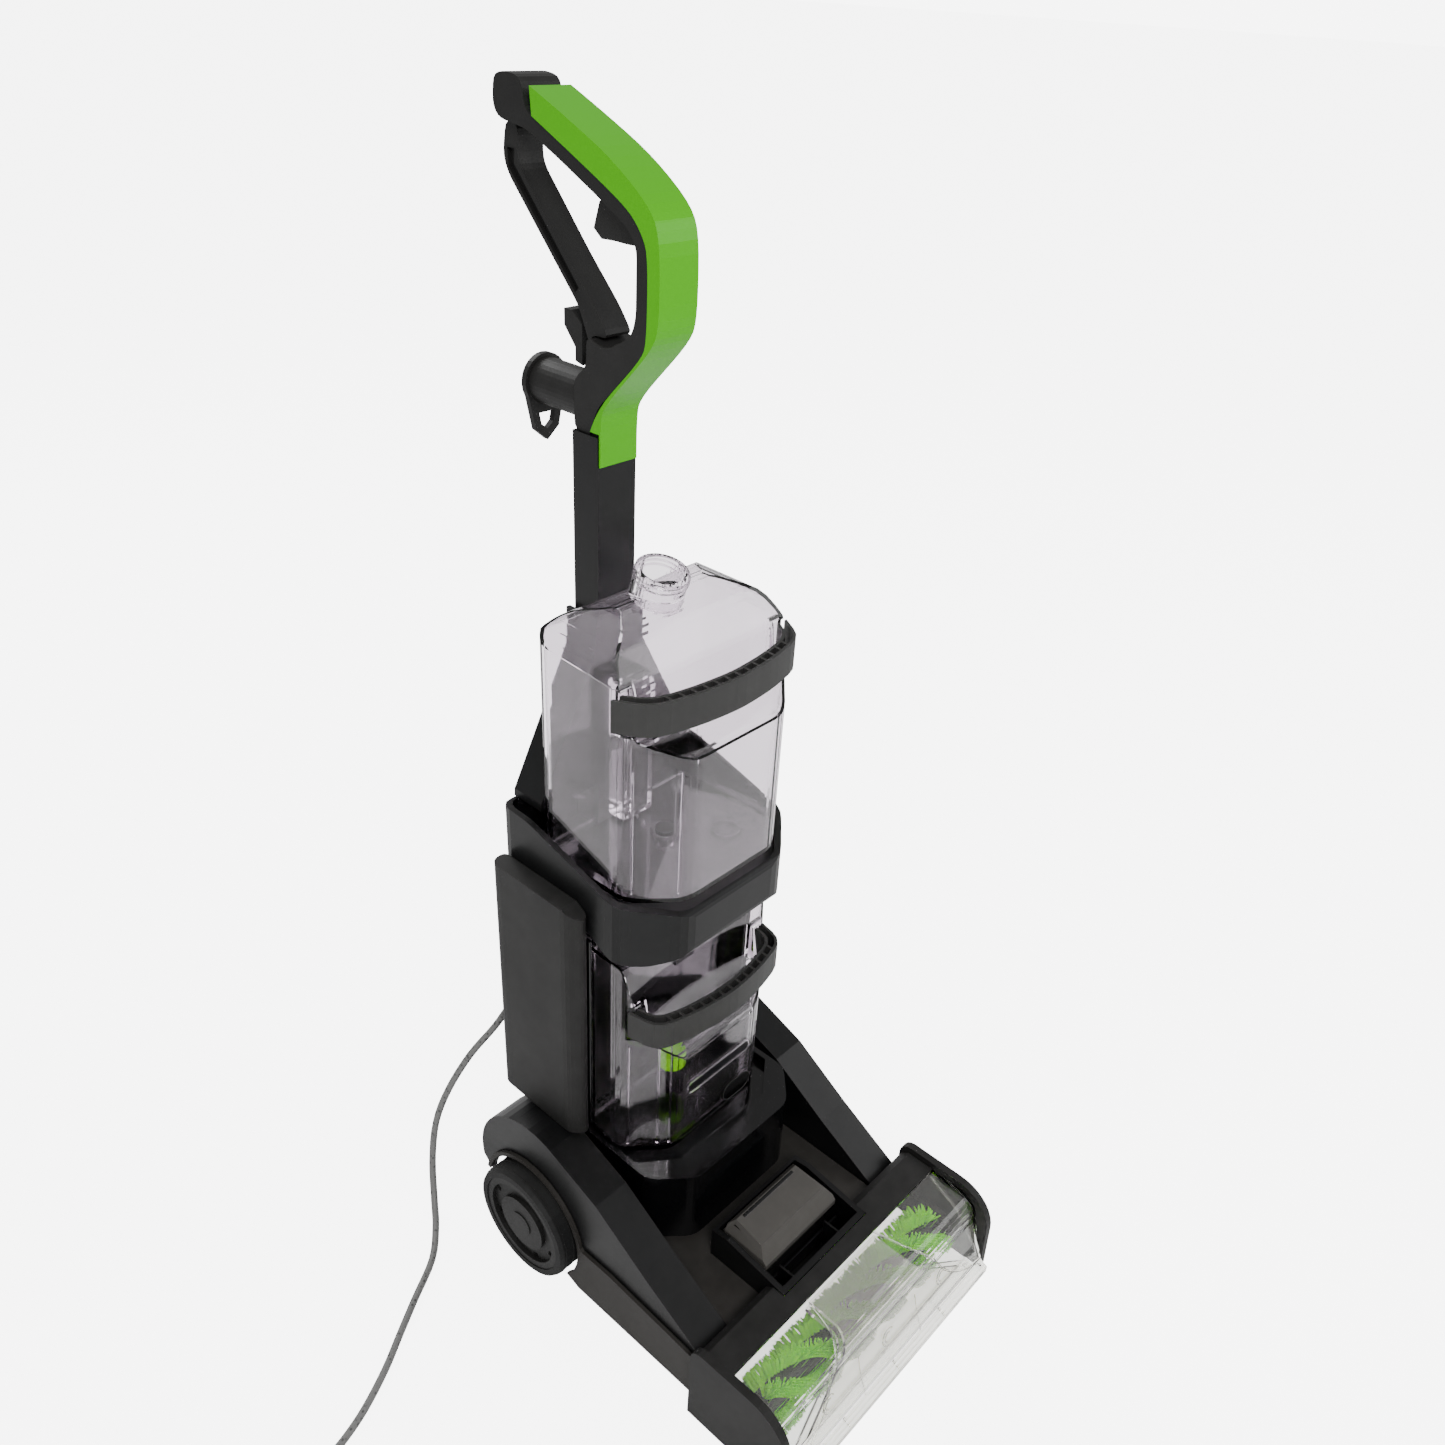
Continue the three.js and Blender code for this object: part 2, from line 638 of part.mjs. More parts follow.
// One edge of the cover, with soft corners, cut off at its foot and at the grip's end.
const coverEdge = (points, before, after, end) =>
  rounded([before, ...points, after], 24).filter(([y, z]) => z >= COVER_FOOT && y <= end);
const greenOutline = [
  ...coverEdge(handleFront, [42, 700], [170, 1050], 122),
  ...coverEdge(handleBack, [60, 700], [170, 1034], 118).reverse(),
];
add(
  upright,
  "handle_cover",
  cut(
    sideways(greenOutline, -HANDLE.half - 1, HANDLE.half + 1),
    box(-POLE.half - 1, POLE.half + 1, 43.6, 80, 700, POLE.top + 2.6),
  ),
  mat.green,
);
const frameOutline = [
  [60.6, 800.6],
  [60.6, 786.4],
  [46.6, 821.4],
  [0.6, 868.4],
  [-4.4, 880.2],
  [-4.4, 937.8],
  [2.5, 950.5],
  [14.3, 962.4],
  [44.2, 977.4],
  [85.2, 996.4],
  [118.6, 1011.4],
  [122.6, 1031.6],
  [140, 1034],
  [152, 1031],
  [154, 1012],
  [148, 1004],
  [118, 1000],
  [84, 985],
  [46, 967],
  [16, 952],
  [7, 940],
  [7, 894],
  [12, 880],
  [38, 866],
  [58, 872],
  [58, 850],
  [72, 838],
  [72, 800.6],
];
const frameBody = cut(
  sideways(rounded(frameOutline, 7, 3), -HANDLE.half, HANDLE.half),
  sideways(greenOutline, -HANDLE.half - 5, HANDLE.half + 5),
);
const plug = box(-16.6, 16.6, POLE.front + 3.4, POLE.rear - 3.4, 770, 802);
const triggerSlot = box(-9, 9, 4, 66, 930, 976);
const rodRoom = box(-4, 4, 52, 62, 760, 862);
const poleTop = box(-POLE.half - 1, POLE.half + 1, POLE.front - 1, POLE.rear + 1, 700, POLE.top + GAP);
add(upright, "handle_frame", cut(join(cut(frameBody, poleTop), plug), rodRoom, triggerSlot), mat.charcoal);
const strutOutline = [
  [134, 1001.5],
  [147.6, 1003.3],
  [152, 980],
  [147, 968],
  [72, 889],
  [60, 862],
  [58.6, 872.6],
  [40, 871.6],
  [54, 890],
  [86, 922],
  [134, 974],
  [136, 984],
];
const strutGroove = [
  [139, 985],
  [147, 985],
  [146, 972],
  [76, 898],
  [72, 902],
  [140, 975],
];
const strut = cut(sideways(rounded(strutOutline, 8, 3), -12, 12), sideways(strutGroove, -13, -9));
add(upright, "handle_strut", strut, mat.charcoal);
const triggerOutline = [
  [10, 954],
  [18, 958],
  [46, 968],
  [54, 962],
  [60, 944],
  [52, 938],
  [10, 940],
];
add(upright, "spray_trigger", sideways(triggerOutline, -8.4, 8.4), mat.charcoal);
add(upright, "trigger_rod", rodZ(2.5, 470, 850, 0, 57, 12), mat.steel);
const hoseHook = [
  [72.4, 876],
  [84, 884],
  [92, 884],
  [92, 872],
  [80, 858],
  [80, 848],
  [72.4, 846],
];
add(upright, "hose_hook", sideways(hoseHook, -9, 9), mat.charcoal);
add(upright, "cord_post", rodY(POST.r, 72.4, POST.end, 0, POST.z, 32), mat.charcoal);
const hookPlate = [
  ...arc(0, POST.z, 21, -30, 210, 18),
  [-12, 784],
  [0, 774],
  [12, 784],
];
const hookHole = [[-8, 797], [8, 797], [6, 788], [0, 783], [-6, 788]];
add(
  upright,
  "cord_hook",
  backwards(hookPlate, POST.end + GAP, POST.end + 5.5, [hookHole]),
  mat.charcoal,
);
add(
  upright,
  "lower_cord_hook",
  join(
    box(-14, 14, BODY.rear + GAP, 104, 300, 316),
    box(-14, 14, 98, 104, 270, 316),
  ),
  mat.charcoal,
);
add(upright, "power_switch", box(44.6, 65.4, 70, 79, 388.6, 401.4), mat.grey);

// ---------------------------------------------------------------- upright: works inside the housing
const vacuumMotor = cut(rodZ(30, 300, 372, 0, 38, 32), rodZ(4.4, 290, 310, 0, 38, 16));
add(upright, "vacuum_motor", vacuumMotor, mat.steel);
const fanBlades = Array.from({ length: 9 }, (_, k) =>
  box(6, 28, -0.9, 0.9, 272, 288).rotateZ((2 * Math.PI * k) / 9).translate(0, 38, 0),
);
const fanDisc = rodZ(28, 270, 273, 0, 38, 32);
const fanHub = rodZ(8, 272, 288, 0, 38, 16);
const fanShaft = rodZ(4, 287, 308, 0, 38, 16);
add(upright, "vacuum_fan", join(fanDisc, fanHub, fanShaft, ...fanBlades), mat.charcoal);
const waterPump = join(box(52, 84, 22, 56, 300, 340), rodX(12, 40, 52, 39, 320, 20));
add(upright, "water_pump", waterPump, mat.charcoal);

// ---------------------------------------------------------------- tanks
const tankPlan = (back, grow = 0) => {
  const corners = [
    [-TANK_PLAN.frontHalf + grow * 0.4, TANK_PLAN.front + grow],
    [TANK_PLAN.frontHalf - grow * 0.4, TANK_PLAN.front + grow],
    [TANK_PLAN.half - 6 - grow, TANK_PLAN.chamferY + grow * 0.4],
    [TANK_PLAN.rearHalf - grow, back - grow],
    [-TANK_PLAN.rearHalf + grow, back - grow],
    [-TANK_PLAN.half + 6 + grow, TANK_PLAN.chamferY + grow * 0.4],
  ];
  return rounded(corners, 12, 4);
};
const cleanSide = (grow) => [
  [TANK_PLAN.front - 4 + grow, CLEAN.low + grow],
  [TANK_PLAN.front - 4 + grow, 592],
  [-66 + grow, 612],
  [-60 + grow, 652],
  [-36, CLEAN.high - 8 - grow],
  [-10, CLEAN.high - grow],
  [CLEAN.back - 14, CLEAN.high - 8 - grow],
  [CLEAN.back + 2 - grow, CLEAN.high - 26],
  [CLEAN.back + 2 - grow, CLEAN.low + grow],
];
const cleanFront = (grow) => [
  [-99 + grow, CLEAN.low + grow],
  [99 - grow, CLEAN.low + grow],
  [99 - grow, 640],
  [84 - grow, 676 - grow],
  [50, CLEAN.high - grow],
  [-50, CLEAN.high - grow],
  [-84 + grow, 676 - grow],
  [-99 + grow, 640],
];
// the corner pockets that the ends of a carry bar clip into
const barPocket = (x, y, z0, z1) => [
  box(x, 120, -140, y, z0, z1),
  box(-120, -x, -140, y, z0, z1),
];
const cleanBody = (grow) => {
  const plan = upwards(tankPlan(CLEAN.back, grow), CLEAN.low + grow, CLEAN.high + 10);
  const side = sideways(rounded(cleanSide(grow), 9, 3), -120, 120);
  const front = backwards(rounded(cleanFront(grow), 14, 3), -130, 60);
  const pockets = barPocket(80 - grow, -55.6 + grow, 616 - grow, 652 + grow);
  return keep(keep(plan, side), cut(front, ...pockets));
};
const NECK = { y: -4, z: 690, r: 22, bore: 17.5, rise: 16, tilt: 15 };
const leaning = (geometry) =>
  geometry.rotateX(THREE.MathUtils.degToRad(NECK.tilt)).translate(0, NECK.y, NECK.z);
const neck = leaning(rodZ(NECK.r, -11, NECK.rise, 0, 0, 40));
const neckBore = leaning(rodZ(NECK.bore, -24, NECK.rise + 5, 0, 0, 40));
const valveSeat = rodZ(10, CLEAN.low - 8, CLEAN.low + 2, 0, -20, 24);
const seatBore = rodZ(6.4, CLEAN.low - 12, CLEAN.low + 8, 0, -20, 20);
const cleanShell = cut(cleanBody(0), cleanBody(CLEAN.wall));
const cleanTank = cut(join(cleanShell, neck, valveSeat), neckBore, seatBore);
add(upright, "clean_tank", cleanTank, mat.clear);
const valveStem = rodZ(6, CLEAN.low - 9, CLEAN.low + 3.4, 0, -20, 20);
const valveDisc = rodZ(9, CLEAN.low + 3.4, CLEAN.low + 8, 0, -20, 20);
add(upright, "tank_valve", join(valveStem, valveDisc), mat.black);

const dirtySide = (grow) => [
  [TANK_PLAN.front + grow, DIRTY.low + grow],
  [TANK_PLAN.front + grow, 276],
  [-78 + grow, 300],
  [-70 + grow, 345],
  [-62 + grow, DIRTY.high - grow],
  [DIRTY.back - grow, DIRTY.high - grow],
  [DIRTY.back - grow, DIRTY.low + grow],
];
const dirtyBody = (grow) => {
  const plan = upwards(tankPlan(DIRTY.back, grow), DIRTY.low + grow, DIRTY.high + 5);
  const side = sideways(rounded(dirtySide(grow), 9, 3), -120, 120);
  return keep(plan, cut(side, ...barPocket(72 - grow, -65.6 + grow, 303 - grow, 337 + grow)));
};
const lidHole = box(-30, 30, -54, -20, DIRTY.high - 6, DIRTY.high + 4);
add(upright, "dirty_tank", cut(dirtyBody(0), dirtyBody(DIRTY.wall), lidHole), mat.clear);
add(
  upright,
  "dirty_tank_lid",
  join(
    box(-29, 29, -53, -21, DIRTY.high - 3, DIRTY.high + 1.4),
    box(-33, 33, -57, -17, DIRTY.high + GAP, DIRTY.high + 4),
    box(-12, 12, -48, -28, 330, DIRTY.high - 2),
  ),
  mat.black,
);
add(upright, "float", rodZ(13, 190, 206, 0, -38, 24), mat.bristle);

// a bow-shaped carry bar across the front of each tank, with open cells along its top
const BAR = { high: 28, cell: 8, pitch: 11, cells: 13, wall: 3 };
const bowBar = (end, corner, front, z) => {
  const outline = (inset) => [
    [-end[0] + inset, end[1]],
    [-corner[0] + inset * 0.7, corner[1] + inset * 0.8],
    [-corner[0] / 2, (corner[1] + front) / 2 - 3 + inset],
    [0, front + inset],
    [corner[0] / 2, (corner[1] + front) / 2 - 3 + inset],
    [corner[0] - inset * 0.7, corner[1] + inset * 0.8],
    [end[0] - inset, end[1]],
  ];
  const curved = (inset) => {
    const open = outline(inset);
    return [open[0], ...rounded(open, 16, 3).slice(4, -4), open[open.length - 1]];
  };
  const bar = upwards([...curved(0), ...curved(12).reverse()], z, z + BAR.high);
  const trough = upwards([...curved(BAR.wall), ...curved(9).reverse()], z + BAR.wall, z + BAR.high + 5);
  const webs = Array.from({ length: BAR.cells }, (_, k) => {
    const x = (k - (BAR.cells - 1) / 2) * BAR.pitch;
    return box(x - 1.2, x + 1.2, front - 5, end[1], z, z + BAR.high);
  });
  return join(cut(bar, trough), ...webs.map((web) => keep(bar, web)));
};
add(upright, "clean_tank_handle", bowBar([100, -56], [84, -84], -98, 620), mat.handle);
add(upright, "dirty_tank_handle", bowBar([88, -66], [82, -98], -113, 306), mat.handle);

// ---------------------------------------------------------------- mains cord
const cord = new THREE.Group();
cleaner.add(cord);
const route = [
  [-50, 98.5, 236],
  [-50.5, 102, 235.8],
  [-62, 107, 232],
  [-80, 108, 221],
  [-99, 111, 201],
  [-125, 120, 173],
  [-147, 130, 133],
  [-162, 135, 93],
  [-174, 130, 49],
  [-188, 112, 14],
  [-202, 92, CORD.lift],
  [-227, 64, CORD.lift],
  [-265, 40, CORD.lift],
  [-296, 20, CORD.lift],
  [-325, 1, CORD.lift],
  [-359, -17, CORD.lift],
  [-386, -27, CORD.lift],
  [-406, -31.5, CORD.lift],
  [-425, -35.2, CORD.lift],
].map((p) => new THREE.Vector3(...p));
const wireSection = arc(0, 0, CORD.r, 0, 360 - 360 / CORD.sides, CORD.sides - 1);
const wire = (points, steps) =>
  new THREE.ExtrudeGeometry(shapeOf(wireSection), {
    steps,
    bevelEnabled: false,
    extrudePath: new THREE.CatmullRomCurve3(points, false, "centripetal"),
  });
add(cord, "cord_lead", facingOut(wire(route, 52)), mat.cord);
add(
  upright,
  "strain_relief",
  join(
    rodY(5.2, 71, 79, CORD.exitX, CORD.exitZ, 20),
    new THREE.CylinderGeometry(4.4, 7, 20.8, 20).translate(CORD.exitX, 86.9, CORD.exitZ),
    rodY(8.5, BODY.rear + GAP, BODY.rear + 3, CORD.exitX, CORD.exitZ, 20),
  ),
  mat.rubber,
);
const coilSection = [
  [COIL.inner, 4],
  [COIL.inner + 4, 0],
  [COIL.outer - 4, 0],
  [COIL.outer, 4],
  [COIL.outer, 24],
  [COIL.outer - 4, 28],
  [COIL.inner + 4, 28],
  [COIL.inner, 24],
  [COIL.inner, 4],
];
add(
  cord,
  "cord_coil",
  facingOut(lathe(coilSection, 32).rotateX(Math.PI / 2).translate(COIL.x, COIL.y, COIL.low)),
  mat.cord,
);
const PLUG = { x: -434, y: COIL.y - COIL.outer - 6, low: 1, high: 19 };
const plugPlan = [[0, 7], [0, -7], [14, -8], [20, -15], [44, -15], [44, 15], [20, 15], [14, 8]];
const blade = (y) => box(PLUG.x + 43, PLUG.x + 60, y - 0.8, y + 0.8, 6.8, 13.2);
add(
  cord,
  "mains_plug",
  join(
    upwards(plugPlan, PLUG.low, PLUG.high).translate(PLUG.x, PLUG.y, 0),
    blade(PLUG.y - 6.4),
    blade(PLUG.y + 6.4),
  ),
  mat.rubber,
);

export default cleaner;
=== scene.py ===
"""Upright carpet cleaner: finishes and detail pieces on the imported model."""
import json
import math

import bmesh
import bpy
from mathutils import Matrix, Vector


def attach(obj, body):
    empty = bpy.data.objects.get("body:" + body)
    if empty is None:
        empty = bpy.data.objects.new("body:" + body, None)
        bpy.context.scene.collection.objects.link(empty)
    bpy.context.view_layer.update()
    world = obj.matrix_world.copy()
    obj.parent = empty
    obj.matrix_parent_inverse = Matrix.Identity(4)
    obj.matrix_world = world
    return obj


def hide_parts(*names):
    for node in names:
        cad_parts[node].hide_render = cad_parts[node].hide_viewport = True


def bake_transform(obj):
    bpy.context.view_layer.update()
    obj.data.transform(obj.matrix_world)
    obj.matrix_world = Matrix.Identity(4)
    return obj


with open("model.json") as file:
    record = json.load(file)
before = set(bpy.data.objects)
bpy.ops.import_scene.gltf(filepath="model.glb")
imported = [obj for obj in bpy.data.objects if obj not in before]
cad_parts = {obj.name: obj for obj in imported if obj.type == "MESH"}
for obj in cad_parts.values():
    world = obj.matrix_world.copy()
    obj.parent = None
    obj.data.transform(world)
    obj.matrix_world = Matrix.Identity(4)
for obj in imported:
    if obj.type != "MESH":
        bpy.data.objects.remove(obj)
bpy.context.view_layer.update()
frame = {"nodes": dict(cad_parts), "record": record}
nodes = frame["nodes"]
MM = 0.001
AXLE_Y = 95.0  # the wheel axle, behind the origin, as in the model


def at(x, y, z):
    """A point given in millimetres from the floor under the wheel axle."""
    return Vector((x * MM, (y + AXLE_Y) * MM, z * MM))


# ------------------------------------------------------------------ camera
def place_camera():
    """A camera in front of the machine and to its left, which looks down on it."""
    yaw, pitch, roll = -0.87881, 0.56757, 0.07029
    back = Vector((math.sin(yaw) * math.cos(pitch), -math.cos(yaw) * math.cos(pitch), math.sin(pitch)))
    right = (-back).cross(Vector((0, 0, 1))).normalized()
    up = right.cross(-back)
    tilted_right = right * math.cos(roll) + up * math.sin(roll)
    tilted_up = up * math.cos(roll) - right * math.sin(roll)
    turn = Matrix((tilted_right, tilted_up, back)).transposed().to_4x4()
    lens = bpy.data.cameras.new("studio_camera")
    lens.sensor_width = 36
    lens.lens = 30.84
    lens.shift_x = -0.01366
    lens.shift_y = 0.02287
    lens.clip_end = 50
    camera = bpy.data.objects.new("studio_camera", lens)
    camera.matrix_world = Matrix.Translation(Vector((-0.636383, -0.533635, 1.104883))) @ turn
    bpy.context.scene.collection.objects.link(camera)
    bpy.context.scene.camera = camera


place_camera()


# ------------------------------------------------------------------ mesh helpers
def make_piece(name, shape, body, look, smooth=40.0, bevel=0.0, segments=3):
    """A detail piece from (verts, faces), in one of the finishes, carried by one body of the model."""
    verts, faces = shape
    mesh = bpy.data.meshes.new(name)
    mesh.from_pydata([tuple(v) for v in verts], [], faces)
    work = bmesh.new()
    work.from_mesh(mesh)
    bmesh.ops.remove_doubles(work, verts=work.verts, dist=1e-6)
    bmesh.ops.recalc_face_normals(work, faces=work.faces)
    limit = math.radians(smooth)
    for face in work.faces:
        face.smooth = smooth > 0
    for edge in work.edges:
        edge.smooth = len(edge.link_faces) == 2 and edge.calc_face_angle(0) < limit
    work.to_mesh(mesh)
    work.free()
    piece = bpy.data.objects.new(name, mesh)
    bpy.context.scene.collection.objects.link(piece)
    piece.data.materials.append(FINISH[look])
    if bevel:
        soften(piece, bevel, segments)
    if body:
        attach(piece, body)
    return piece


def shading_rule():
    """Faces run smoothly into each other up to a set angle, and break past it."""
    tree = bpy.data.node_groups.new("shade_by_angle", "GeometryNodeTree")
    tree.interface.new_socket(name="Mesh", in_out="INPUT", socket_type="NodeSocketGeometry")
    tree.interface.new_socket(name="Mesh", in_out="OUTPUT", socket_type="NodeSocketGeometry")
    given = tree.nodes.new("NodeGroupInput")
    made = tree.nodes.new("NodeGroupOutput")
    bend = tree.nodes.new("GeometryNodeInputMeshEdgeAngle")
    gentle = tree.nodes.new("FunctionNodeCompare")
    gentle.data_type = "FLOAT"
    gentle.operation = "LESS_EQUAL"
    gentle.inputs["B"].default_value = math.radians(32)
    faces = tree.nodes.new("GeometryNodeSetShadeSmooth")
    faces.domain = "FACE"
    edges = tree.nodes.new("GeometryNodeSetShadeSmooth")
    edges.domain = "EDGE"
    tree.links.new(bend.outputs["Unsigned Angle"], gentle.inputs["A"])
    tree.links.new(given.outputs["Mesh"], faces.inputs["Geometry"])
    tree.links.new(faces.outputs["Geometry"], edges.inputs["Geometry"])
    tree.links.new(gentle.outputs["Result"], edges.inputs["Shade Smooth"])
    tree.links.new(edges.outputs["Geometry"], made.inputs["Mesh"])
    return tree


SHADING = shading_rule()


def soften(piece, width, segments=3):
    rounding = piece.modifiers.new("rounded_edges", "BEVEL")
    rounding.width = width * MM
    rounding.segments = segments
    rounding.limit_method = "ANGLE"
    rounding.angle_limit = math.radians(30)
    rounding.use_clamp_overlap = True
    rounding.harden_normals = False
    shading = piece.modifiers.new("shade_by_angle", "NODES")
    shading.node_group = SHADING
    evened = piece.modifiers.new("even_shading", "WEIGHTED_NORMAL")
    evened.keep_sharp = True


def sweep(path, section):
    """A section of (side, up) offsets carried along a path, upright as far as the path allows."""
    verts, faces = [], []
    count, around = len(path), len(section)
    for i, point in enumerate(path):
        before = path[max(i - 1, 0)]
        after = path[min(i + 1, count - 1)]
        along = (after - before).normalized()
        side = along.cross(Vector((0, 0, 1)))
        side = side.normalized() if side.length > 1e-4 else Vector((1, 0, 0))
        lift = side.cross(along).normalized()
        verts += [point + side * (s * MM) + lift * (u * MM) for s, u in section]
    for i in range(count - 1):
        a, b = i * around, (i + 1) * around
        for k in range(around):
            n = (k + 1) % around
            faces.append((a + k, a + n, b + n, b + k))
    faces.append(tuple(range(around)))
    faces.append(tuple(range((count - 1) * around, count * around)))
    return verts, faces


def oval_section(half_wide, half_high, sides):
    angles = [2 * math.pi * k / sides for k in range(sides)]
    return [(half_wide * math.cos(a), half_high * math.sin(a)) for a in angles]


def round_section(radius, sides):
    return oval_section(radius, radius, sides)


def turned(profile, centre, axis, sides):
    """A (radius, height) profile turned about an axis through centre, in millimetres."""
    axis = Vector(axis).normalized()
    across = axis.orthogonal().normalized()
    other = axis.cross(across)
    verts, faces = [], []
    for i in range(sides):
        angle = 2 * math.pi * i / sides
        out = across * math.cos(angle) + other * math.sin(angle)
        verts += [centre + out * (r * MM) + axis * (h * MM) for r, h in profile]
    around = len(profile)
    for i in range(sides):
        a, b = i * around, ((i + 1) % sides) * around
        for k in range(around - 1):
            faces.append((a + k, a + k + 1, b + k + 1, b + k))
    return verts, faces


def joined(parts):
    verts, faces = [], []
    for more_verts, more_faces in parts:
        base = len(verts)
        verts += list(more_verts)
        faces += [tuple(base + i for i in face) for face in more_faces]
    return verts, faces


def slab(x0, x1, y0, y1, z0, z1):
    corners = [at(x, y, z) for z in (z0, z1) for x, y in ((x0, y0), (x1, y0), (x1, y1), (x0, y1))]
    return corners, [(0, 3, 2, 1), (4, 5, 6, 7), (0, 1, 5, 4), (1, 2, 6, 5), (2, 3, 7, 6), (3, 0, 4, 7)]


# ------------------------------------------------------------------ finishes
def link(tree, source, target):
    tree.links.new(source, target)


def effect(name, inputs, outputs):
    tree = bpy.data.node_groups.new(name, "ShaderNodeTree")
    for label, kind, value in inputs:
        socket = tree.interface.new_socket(name=label, in_out="INPUT", socket_type=kind)
        socket.default_value = value
    for label, kind in outputs:
        tree.interface.new_socket(name=label, in_out="OUTPUT", socket_type=kind)
    return tree, tree.nodes.new("NodeGroupInput"), tree.nodes.new("NodeGroupOutput")


def math_node(tree, operation, first, second):
    node = tree.nodes.new("ShaderNodeMath")
    node.operation = operation
    for socket, value in zip(node.inputs, (first, second)):
        if hasattr(value, "is_output"):
            link(tree, value, socket)
        else:
            socket.default_value = value
    return node.outputs[0]


def moulded_grain():
    """Fine pitting of a spark-eroded mould, with slow drifts in gloss."""
    tree, given, made = effect(
        "moulded_grain",
        [
            ("Scale", "NodeSocketFloat", 900.0),
            ("Roughness", "NodeSocketFloat", 0.5),
            ("Drift", "NodeSocketFloat", 0.08),
        ],
        [("Height", "NodeSocketFloat"), ("Roughness", "NodeSocketFloat")],
    )
    place = tree.nodes.new("ShaderNodeTexCoord")
    pits = tree.nodes.new("ShaderNodeTexNoise")
    pits.inputs["Detail"].default_value = 3
    link(tree, place.outputs["Object"], pits.inputs["Vector"])
    link(tree, given.outputs["Scale"], pits.inputs["Scale"])
    cloud = tree.nodes.new("ShaderNodeTexNoise")
    cloud.inputs["Scale"].default_value = 14
    cloud.inputs["Detail"].default_value = 5
    link(tree, place.outputs["Object"], cloud.inputs["Vector"])
    centred = math_node(tree, "SUBTRACT", cloud.outputs["Fac"], 0.5)
    drift = math_node(tree, "MULTIPLY", centred, given.outputs["Drift"])
    link(tree, math_node(tree, "ADD", given.outputs["Roughness"], drift), made.inputs["Roughness"])
    link(tree, pits.outputs["Fac"], made.inputs["Height"])
    return tree


def handled_surface():
    """Worn edges a little paler and dust settled on faces that look up."""
    tree, given, made = effect(
        "handled_surface",
        [
            ("Colour", "NodeSocketColor", (0.1, 0.1, 0.1, 1)),
            ("Wear Colour", "NodeSocketColor", (0.3, 0.3, 0.3, 1)),
            ("Wear", "NodeSocketFloat", 0.3),
            ("Dust", "NodeSocketFloat", 0.1),
        ],
        [("Colour", "NodeSocketColor")],
    )
    shape = tree.nodes.new("ShaderNodeNewGeometry")
    place = tree.nodes.new("ShaderNodeTexCoord")
    rub = tree.nodes.new("ShaderNodeTexNoise")
    rub.inputs["Scale"].default_value = 60
    rub.inputs["Detail"].default_value = 6
    link(tree, place.outputs["Object"], rub.inputs["Vector"])
    edge = tree.nodes.new("ShaderNodeMapRange")
    edge.inputs["From Min"].default_value = 0.52
    edge.inputs["From Max"].default_value = 0.62
    link(tree, shape.outputs["Pointiness"], edge.inputs["Value"])
    rubbed = math_node(tree, "MULTIPLY", edge.outputs["Result"], rub.outputs["Fac"])
    worn = math_node(tree, "MULTIPLY", rubbed, given.outputs["Wear"])
    first = tree.nodes.new("ShaderNodeMix")
    first.data_type = "RGBA"
    link(tree, worn, first.inputs["Factor"])
    link(tree, given.outputs["Colour"], first.inputs["A"])
    link(tree, given.outputs["Wear Colour"], first.inputs["B"])
    facing = tree.nodes.new("ShaderNodeSeparateXYZ")
    link(tree, shape.outputs["Normal"], facing.inputs["Vector"])
    upward = tree.nodes.new("ShaderNodeMapRange")
    upward.inputs["From Min"].default_value = 0.6
    link(tree, facing.outputs["Z"], upward.inputs["Value"])
    patches = math_node(tree, "MULTIPLY", upward.outputs["Result"], rub.outputs["Fac"])
    settled = math_node(tree, "MULTIPLY", patches, given.outputs["Dust"])
    second = tree.nodes.new("ShaderNodeMix")
    second.data_type = "RGBA"
    second.inputs["B"].default_value = (0.42, 0.40, 0.37, 1)
    link(tree, settled, second.inputs["Factor"])
    link(tree, first.outputs["Result"], second.inputs["A"])
    link(tree, second.outputs["Result"], made.inputs["Colour"])
    return tree


GRAIN = moulded_grain()
HANDLED = handled_surface()


def blank_finish(name):
    finish = bpy.data.materials.new(name)
    finish.use_nodes = True
    tree = finish.node_tree
    return finish, tree, tree.nodes["Principled BSDF"]


def use(tree, effect_tree, values):
    node = tree.nodes.new("ShaderNodeGroup")
    node.node_tree = effect_tree
    for label, value in values.items():
        node.inputs[label].default_value = value
    return node


def bump(tree, shader, height, strength, distance):
    node = tree.nodes.new("ShaderNodeBump")
    node.inputs["Strength"].default_value = strength
    node.inputs["Distance"].default_value = distance
    link(tree, height, node.inputs["Height"])
    link(tree, node.outputs["Normal"], shader.inputs["Normal"])


def plastic(name, colour, rough, grain=0.3, wear=0.25, dust=0.02, pitch=1100, coat=0.0, level=0.3):
    """Moulded plastic: grain is the depth of the mould's texture and pitch its fineness."""
    finish, tree, shader = blank_finish(name)
    pale = tuple(min(1, c * 1.6 + 0.05) for c in colour)
    skin = use(tree, HANDLED, {"Colour": (*colour, 1), "Wear Colour": (*pale, 1), "Wear": wear, "Dust": dust})
    texture = use(tree, GRAIN, {"Scale": pitch, "Roughness": rough, "Drift": 0.16})
    link(tree, skin.outputs["Colour"], shader.inputs["Base Color"])
    link(tree, texture.outputs["Roughness"], shader.inputs["Roughness"])
    bump(tree, shader, texture.outputs["Height"], grain, 0.0003)
    shader.inputs["Coat Weight"].default_value = coat
    shader.inputs["Coat Roughness"].default_value = 0.12
    shader.inputs["Specular IOR Level"].default_value = level
    return finish


def clear_plastic(name, tint, rough, ripple):
    finish, tree, shader = blank_finish(name)
    shader.inputs["Base Color"].default_value = (*tint, 1)
    shader.inputs["Transmission Weight"].default_value = 1
    shader.inputs["IOR"].default_value = 1.46
    texture = use(tree, GRAIN, {"Scale": 38, "Roughness": rough, "Drift": 0.05})
    link(tree, texture.outputs["Roughness"], shader.inputs["Roughness"])
    bump(tree, shader, texture.outputs["Height"], ripple, 0.0006)
    return finish


